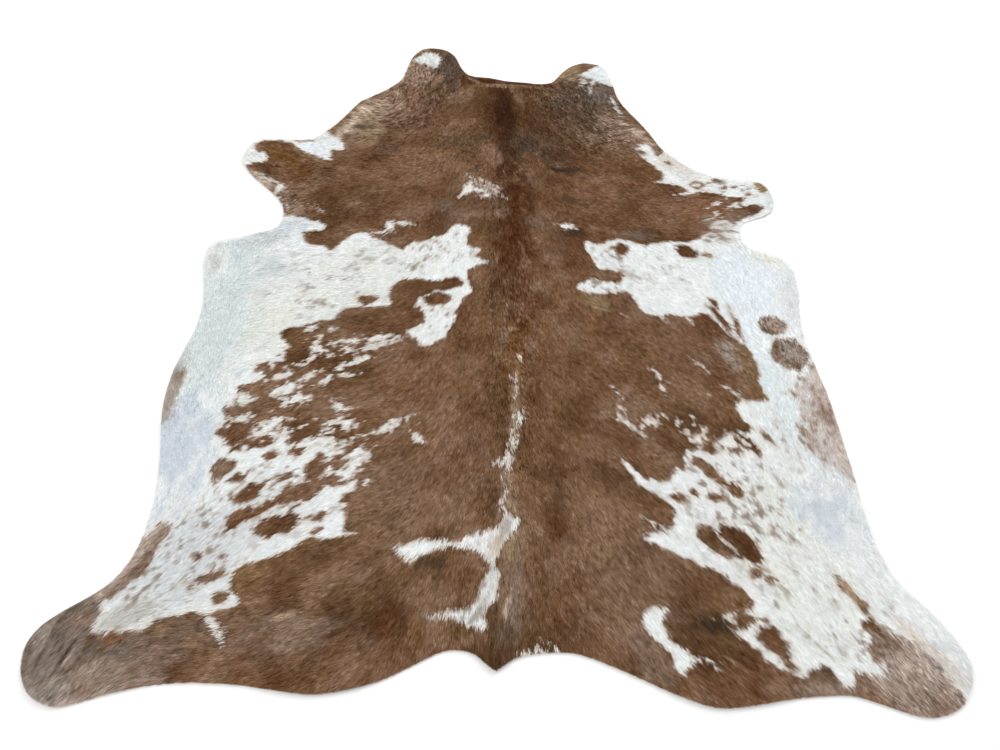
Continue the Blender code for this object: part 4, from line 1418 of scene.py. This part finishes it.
hide_skin = bpy.data.objects.new("hide_skin", build_skin())
bpy.context.collection.objects.link(hide_skin)
hide_skin.data.shade_smooth()
hide_skin.data.set_sharp_from_angle(angle=np.radians(SHARP))
print("skin:", len(hide_skin.data.polygons), "faces")

# %% [markdown]
# ## The hair
# Curves or a particle system would make finer hair, but the piece has to leave Blender as a mesh. So
# each lock of a few hairs is one slender triangle. Its short side is sunk a little into the skin, and
# its long point lies over the locks in front. Some eight hundred thousand cover the skin more than
# twice over.

# %% Sizes of the locks
SPACING = 0.00196  # metres from root to root
LOCK_LENGTH = 0.0135
LOCK_WIDTH = 0.0016
LOCK_RISE = 0.0021  # of the tip above the skin
ROOT_DEPTH = 0.0006  # of the root below the skin

print(f"a lock every {1000 * SPACING:.2f} mm, {1000 * LOCK_LENGTH:.1f} mm long where the hair is plain")

# %% [markdown]
# ## Longer and shorter hair
# Hair is longest at the tail. It is longer than usual on the neck, the ears and along the spine, and
# short in the flank hollows and along the belly edges. Soft ovals add to the length or take from it.

# %% Length of the hair
# x, y, length and width in centimetres, heading in degrees, share added to the length
LONG_HAIR = (
    (-34, 86, 60, 34, 62, 0.6), (28, 84, 50, 30, -60, 0.6), (3, 70, 60, 12, 90, 0.5),
    (0, -105, 12, 10, 90, 2.0), (-62, 30, 30, 14, -45, 0.3), (4, 10, 70, 14, 90, 0.4),
    (-24, 112, 12, 16, 90, 0.5), (36, 100, 12, 14, 90, 0.5), (-76, -56, 30, 18, 88, -0.6),
    (78, -73, 24, 18, 80, -0.6), (-80, -25, 60, 12, 88, -0.15), (82, -25, 70, 12, 90, -0.3),
)

hair_length = LOCK_LENGTH * (1 + soft_ovals(LONG_HAIR))
print(f"locks from {1000 * hair_length.min():.1f} to {1000 * hair_length.max():.1f} mm long")

# %% [markdown]
# ## Roots and tufts
# The roots stand on a square lattice with each point pushed about, so no rows show. A coarser lattice
# made the same way holds the tufts, and every lock belongs to the tuft that is nearest to it. The locks
# of a tuft lean together, as real hair does, so the coat catches light in strokes.

# %% Roots and tufts
TUFT = 0.0065  # metres from tuft to tuft
RIM_GAP = 0.0008  # no root is nearer to the rim than this
ROOT_SEED = 11


def lock_roots(seed):
    """Places on a jittered lattice that lie inside the rim."""
    lattice = np.mgrid[LOW[0] : -LOW[0] : SPACING, LOW[1] : -LOW[1] : SPACING]
    places = lattice.reshape(2, -1).T
    places += np.random.default_rng(seed).uniform(-0.5, 0.5, places.shape) * SPACING
    return places[read_chart(rim_depth, places) > RIM_GAP]


def tufts(places, size, seed):
    """The tuft that each place belongs to: the nearest of the nine jittered lattice points round it.

    It returns the tuft's middle and two random numbers of its own, each with spread 1.
    """
    random = np.random.default_rng(seed)
    cell = np.floor((places - LOW) / size).astype(int)
    counts = cell.max(axis=0) + 3
    jitter = random.uniform(0.1, 0.9, (*counts, 2))
    luck = random.standard_normal((*counts, 2))
    best, middle, number = np.full(len(places), np.inf), np.zeros_like(places), np.zeros_like(places)
    for across in (-1, 0, 1):
        for along in (-1, 0, 1):
            at = np.clip(cell + [across, along], 0, counts - 1)
            spot = LOW + (at + jitter[at[:, 0], at[:, 1]]) * size
            away = np.linalg.norm(places - spot, axis=1)
            nearer = away < best
            best[nearer], middle[nearer] = away[nearer], spot[nearer]
            number[nearer] = luck[at[nearer, 0], at[nearer, 1]]
    return middle, number


roots = lock_roots(ROOT_SEED)
roots = roots[np.argsort(roots[:, 1], kind="stable")]
print(len(roots), "locks, one triangle each")

# %% [markdown]
# ## Points of the locks
# All locks are worked out at once. Each turns a little from the lay, with its tuft and by itself, and
# its point is drawn towards the tuft's point. A lock that would reach far past the rim is cut short,
# because the rim was trimmed with shears.

# %% Points of the locks
TUFT_TURN, LOCK_TURN = 0.11, 0.10  # usual turn from the lay, in radians
GATHER = 0.30  # how far tips are drawn to their tuft's own tip
OVERHANG = 0.003  # tips reach no further past the rim than this
STUMP = 0.15  # least share of a lock that is kept


def turned(directions, angles):
    """Directions in plan, each turned by its own angle."""
    cos, sin = np.cos(angles)[:, None], np.sin(angles)[:, None]
    return directions * cos + np.column_stack([-directions[:, 1], directions[:, 0]]) * sin


def cut_at_rim(places, tips):
    """The share of each lock that is kept, so that none reaches further past the rim than the overhang."""
    inside, outside = read_chart(rim_depth, places), read_chart(rim_depth, tips)
    kept = np.clip((inside + OVERHANG) / np.maximum(inside - outside, 1e-4), STUMP, 1)
    return np.where(outside < -OVERHANG, kept, 1)


def lock_tips(places, middle, length, tuft_turn, turn):
    """The point of each lock in plan, and the share of the lock that is kept at the rim.

    A tip is the root plus the turned lay times the length, and it moves to the tuft's tip by a share.
    """
    forward = turned(read_chart(lay, places), TUFT_TURN * tuft_turn + LOCK_TURN * turn)
    tip = places + forward * length[:, None]
    tuft_tip = middle + turned(read_chart(lay, middle), TUFT_TURN * tuft_turn) * length[:, None]
    tip += GATHER * (tuft_tip - tip)
    kept = cut_at_rim(places, tip)
    return places + kept[:, None] * (tip - places), kept


print(f"tips reach up to {1000 * OVERHANG:.0f} mm past the rim")

# %% [markdown]
# ## Shape the locks
# Heights are read from the skin below, so the hair follows every ridge and droops over the rim. Each
# lock rolls a little about its own length. Its tone is mostly its own luck, which shows as single
# hairs, and more so where the coat is brindled.

# %% Shape the locks
# usual share over or under, least, most
LENGTH_SWAY = (0.16, 0.6, 1.4)
WIDTH_SWAY = (0.2, 0.5, 1.5)
RISE_SWAY = (0.25, 0.4, 2.0)
ROLL = 0.42  # usual roll, in radians
DROOP = 0.008  # the lift of the tips halves over this distance past the rim
OWN_TONE, OWN_BRINDLE = 1.4, 2.4  # tone of the lock itself, and what brindle adds
GRAIN_TONE, GRAIN_BRINDLE = 0.8, 0.8  # tone along the combed grain, and what brindle adds
TUFT_TONE = 0.3


def swayed(luck, spread, least, most):
    """1 plus luck times its usual spread, but no less than the least and no more than the most."""
    return np.clip(1 + spread * luck, least, most)


def tip_rise(tips, full_length, kept, luck):
    """Height of each tip over the skin, LOCK_RISE * sqrt(full_length / LOCK_LENGTH), more or less.

    It is more for a lucky lock, and less for one that is cut or hangs over the rim.
    """
    rise = LOCK_RISE * np.sqrt(full_length / LOCK_LENGTH) * swayed(luck, *RISE_SWAY)
    return rise * kept * (0.5 + 0.5 * smooth_rise(read_chart(rim_depth, tips), -DROOP, 0))


def lock_corners(places, seed):
    """Three corners for each lock, the two sides of its root and its point, and its own tone."""
    random = np.random.default_rng(seed)
    middle, luck = tufts(places, TUFT, seed + 1)
    tuft_turn, tuft_tone = luck.T
    turn, growth, breadth, roll, tone = random.standard_normal((5, len(places)))
    full_length = read_chart(hair_length, places)
    length = full_length * swayed(growth, *LENGTH_SWAY)
    tip, kept = lock_tips(places, middle, length, tuft_turn, turn)

    run = tip - places
    side = np.column_stack([-run[:, 1], run[:, 0]]) / np.linalg.norm(run, axis=1, keepdims=True)
    broad = LOCK_WIDTH / 2 * swayed(breadth, *WIDTH_SWAY)
    across = side * (broad * np.cos(ROLL * roll))[:, None]
    lift = broad * np.sin(ROLL * roll)
    low = read_chart(upper_skin, places) - ROOT_DEPTH
    high = read_chart(upper_skin, tip) + tip_rise(tip, full_length, kept, growth + tuft_tone)
    one_side = np.column_stack([places - across, low - lift])
    other_side = np.column_stack([places + across, low + lift])
    corners = np.stack([one_side, np.column_stack([tip, high]), other_side], axis=1)

    streaky = read_chart(brindled, places)
    strand = TUFT_TONE * tuft_tone + (OWN_TONE + OWN_BRINDLE * streaky) * tone
    strand += (GRAIN_TONE + GRAIN_BRINDLE * streaky) * read_chart(hair_grain, places)
    return corners, strand


print(f"locks {1000 * LOCK_WIDTH:.1f} mm wide at the root, tips {1000 * LOCK_RISE:.1f} mm up")

# %% [markdown]
# ## Five pieces of coat
# The locks are shared out along the rug into five pieces, from rump to neck, so that none is too heavy.
# On the map each lock is a small triangle at its own root, and neighbours stay neighbours.

# %% Build the coat
COAT_PIECES = ("coat_rump", "coat_loin", "coat_barrel", "coat_shoulders", "coat_neck")
COAT_SEED = 100
MAP_TRIANGLE = ((-0.9, -0.5), (0, 1), (0.9, -0.5))  # in spacings round the root
LOCK_MARGIN = 0.002  # of the map


def build_locks(name, places, seed):
    """One piece of coat: the locks with their attributes, and a map with each lock at its root."""
    corners, strand = lock_corners(places, seed)
    mesh = mesh_of(name, corners.reshape(-1, 3), np.arange(3 * len(places)).reshape(-1, 3))
    mesh.materials.append(coat_hair)
    write_coat(mesh, places, strand, repeat=3)
    root = np.column_stack([places, np.zeros(len(places))]).astype(np.float32)
    root = np.repeat(root, 3, axis=0)
    mesh.attributes.new("root", "FLOAT_VECTOR", "POINT").data.foreach_set("vector", root.ravel())
    spot = (places[:, None] + SPACING * np.array(MAP_TRIANGLE)).reshape(-1, 2)
    write_map(mesh, fitted(spot, LOCK_MARGIN))
    piece = bpy.data.objects.new(name, mesh)
    bpy.context.collection.objects.link(piece)
    return piece


coat = [
    build_locks(name, places, COAT_SEED + 10 * index)
    for index, (name, places) in enumerate(zip(COAT_PIECES, np.array_split(roots, len(COAT_PIECES))))
]
print({piece.name: len(piece.data.polygons) for piece in coat})

# %% [markdown]
# ## Floor and light
# The rug lies on a plain pale floor under a big soft light at each side, as in a studio. The rest of
# the light comes evenly from all round, so the shadows under the rim stay faint.

# %% Floor and lights
FLOOR_REACH = 30  # metres each way
FLOOR_TONE = (0.87, 0.87, 0.87, 1.0)
SKY_TONE, SKY_LIGHT = (1.0, 1.0, 1.0, 1.0), 0.92
# name, place and side in metres, power in watts
LIGHTS = (
    ("window light", (2.4, 2.2, 2.8), 2.4, 80),
    ("fill light", (-2.6, -0.6, 2.6), 2.2, 30),
)


def stage_floor():
    """A wide pale floor, level with the underside of the hide."""
    corners = FLOOR_REACH * np.array([(-1, -1, 0), (1, -1, 0), (1, 1, 0), (-1, 1, 0)])
    mesh = mesh_of("floor", corners, np.array([[0, 1, 2, 3]]))
    material, shader = new_material("pale floor", roughness=0.9, specular=0.1)
    shader.inputs["Base Color"].default_value = FLOOR_TONE
    mesh.materials.append(material)
    floor = bpy.data.objects.new("floor", mesh)
    bpy.context.collection.objects.link(floor)
    return floor


def softbox(name, place, size, power):
    """A square area light that looks at the middle of the hide."""
    light = bpy.data.lights.new(name, "AREA")
    light.shape, light.size, light.energy = "SQUARE", size, power
    lamp = bpy.data.objects.new(name, light)
    lamp.location = place
    lamp.rotation_euler = (-lamp.location).to_track_quat("-Z", "Y").to_euler()
    bpy.context.collection.objects.link(lamp)
    return lamp


floor = stage_floor()
lamps = [softbox(*row) for row in LIGHTS]
world = bpy.data.worlds.new("studio")
world.use_nodes = True
sky = world.node_tree.nodes["Background"].inputs
sky["Color"].default_value = SKY_TONE
sky["Strength"].default_value = SKY_LIGHT
bpy.context.scene.world = world
bpy.context.scene.view_settings.view_transform = "Standard"
print("lights:", {lamp.name: lamp.data.energy for lamp in lamps}, "and an even sky of", SKY_LIGHT)

# %% [markdown]
# ## Camera
# The camera stands at the tail end at eye height and looks down along the spine.

# %% Camera
CAMERA_PLACE = (0.01, -1.457, 1.606)
CAMERA_DOWN = 55  # degrees below the horizon
LENS, SENSOR = 27, 36  # millimetres

lens = bpy.data.cameras.new("camera")
lens.lens, lens.sensor_width = LENS, SENSOR
camera = bpy.data.objects.new("camera", lens)
camera.location = CAMERA_PLACE
camera.rotation_euler = (np.radians(90 - CAMERA_DOWN), 0, 0)
bpy.context.collection.objects.link(camera)
bpy.context.scene.camera = camera
print("camera at", CAMERA_PLACE, "looking", CAMERA_DOWN, "degrees down")

# %% [markdown]
# ## Hand over
# ## Onto the body
# Every piece rides on the hide's one body, and the skin stands for the solid, which is hidden.

for piece in (hide_skin, *coat):
    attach(piece, "root")
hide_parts("hide")
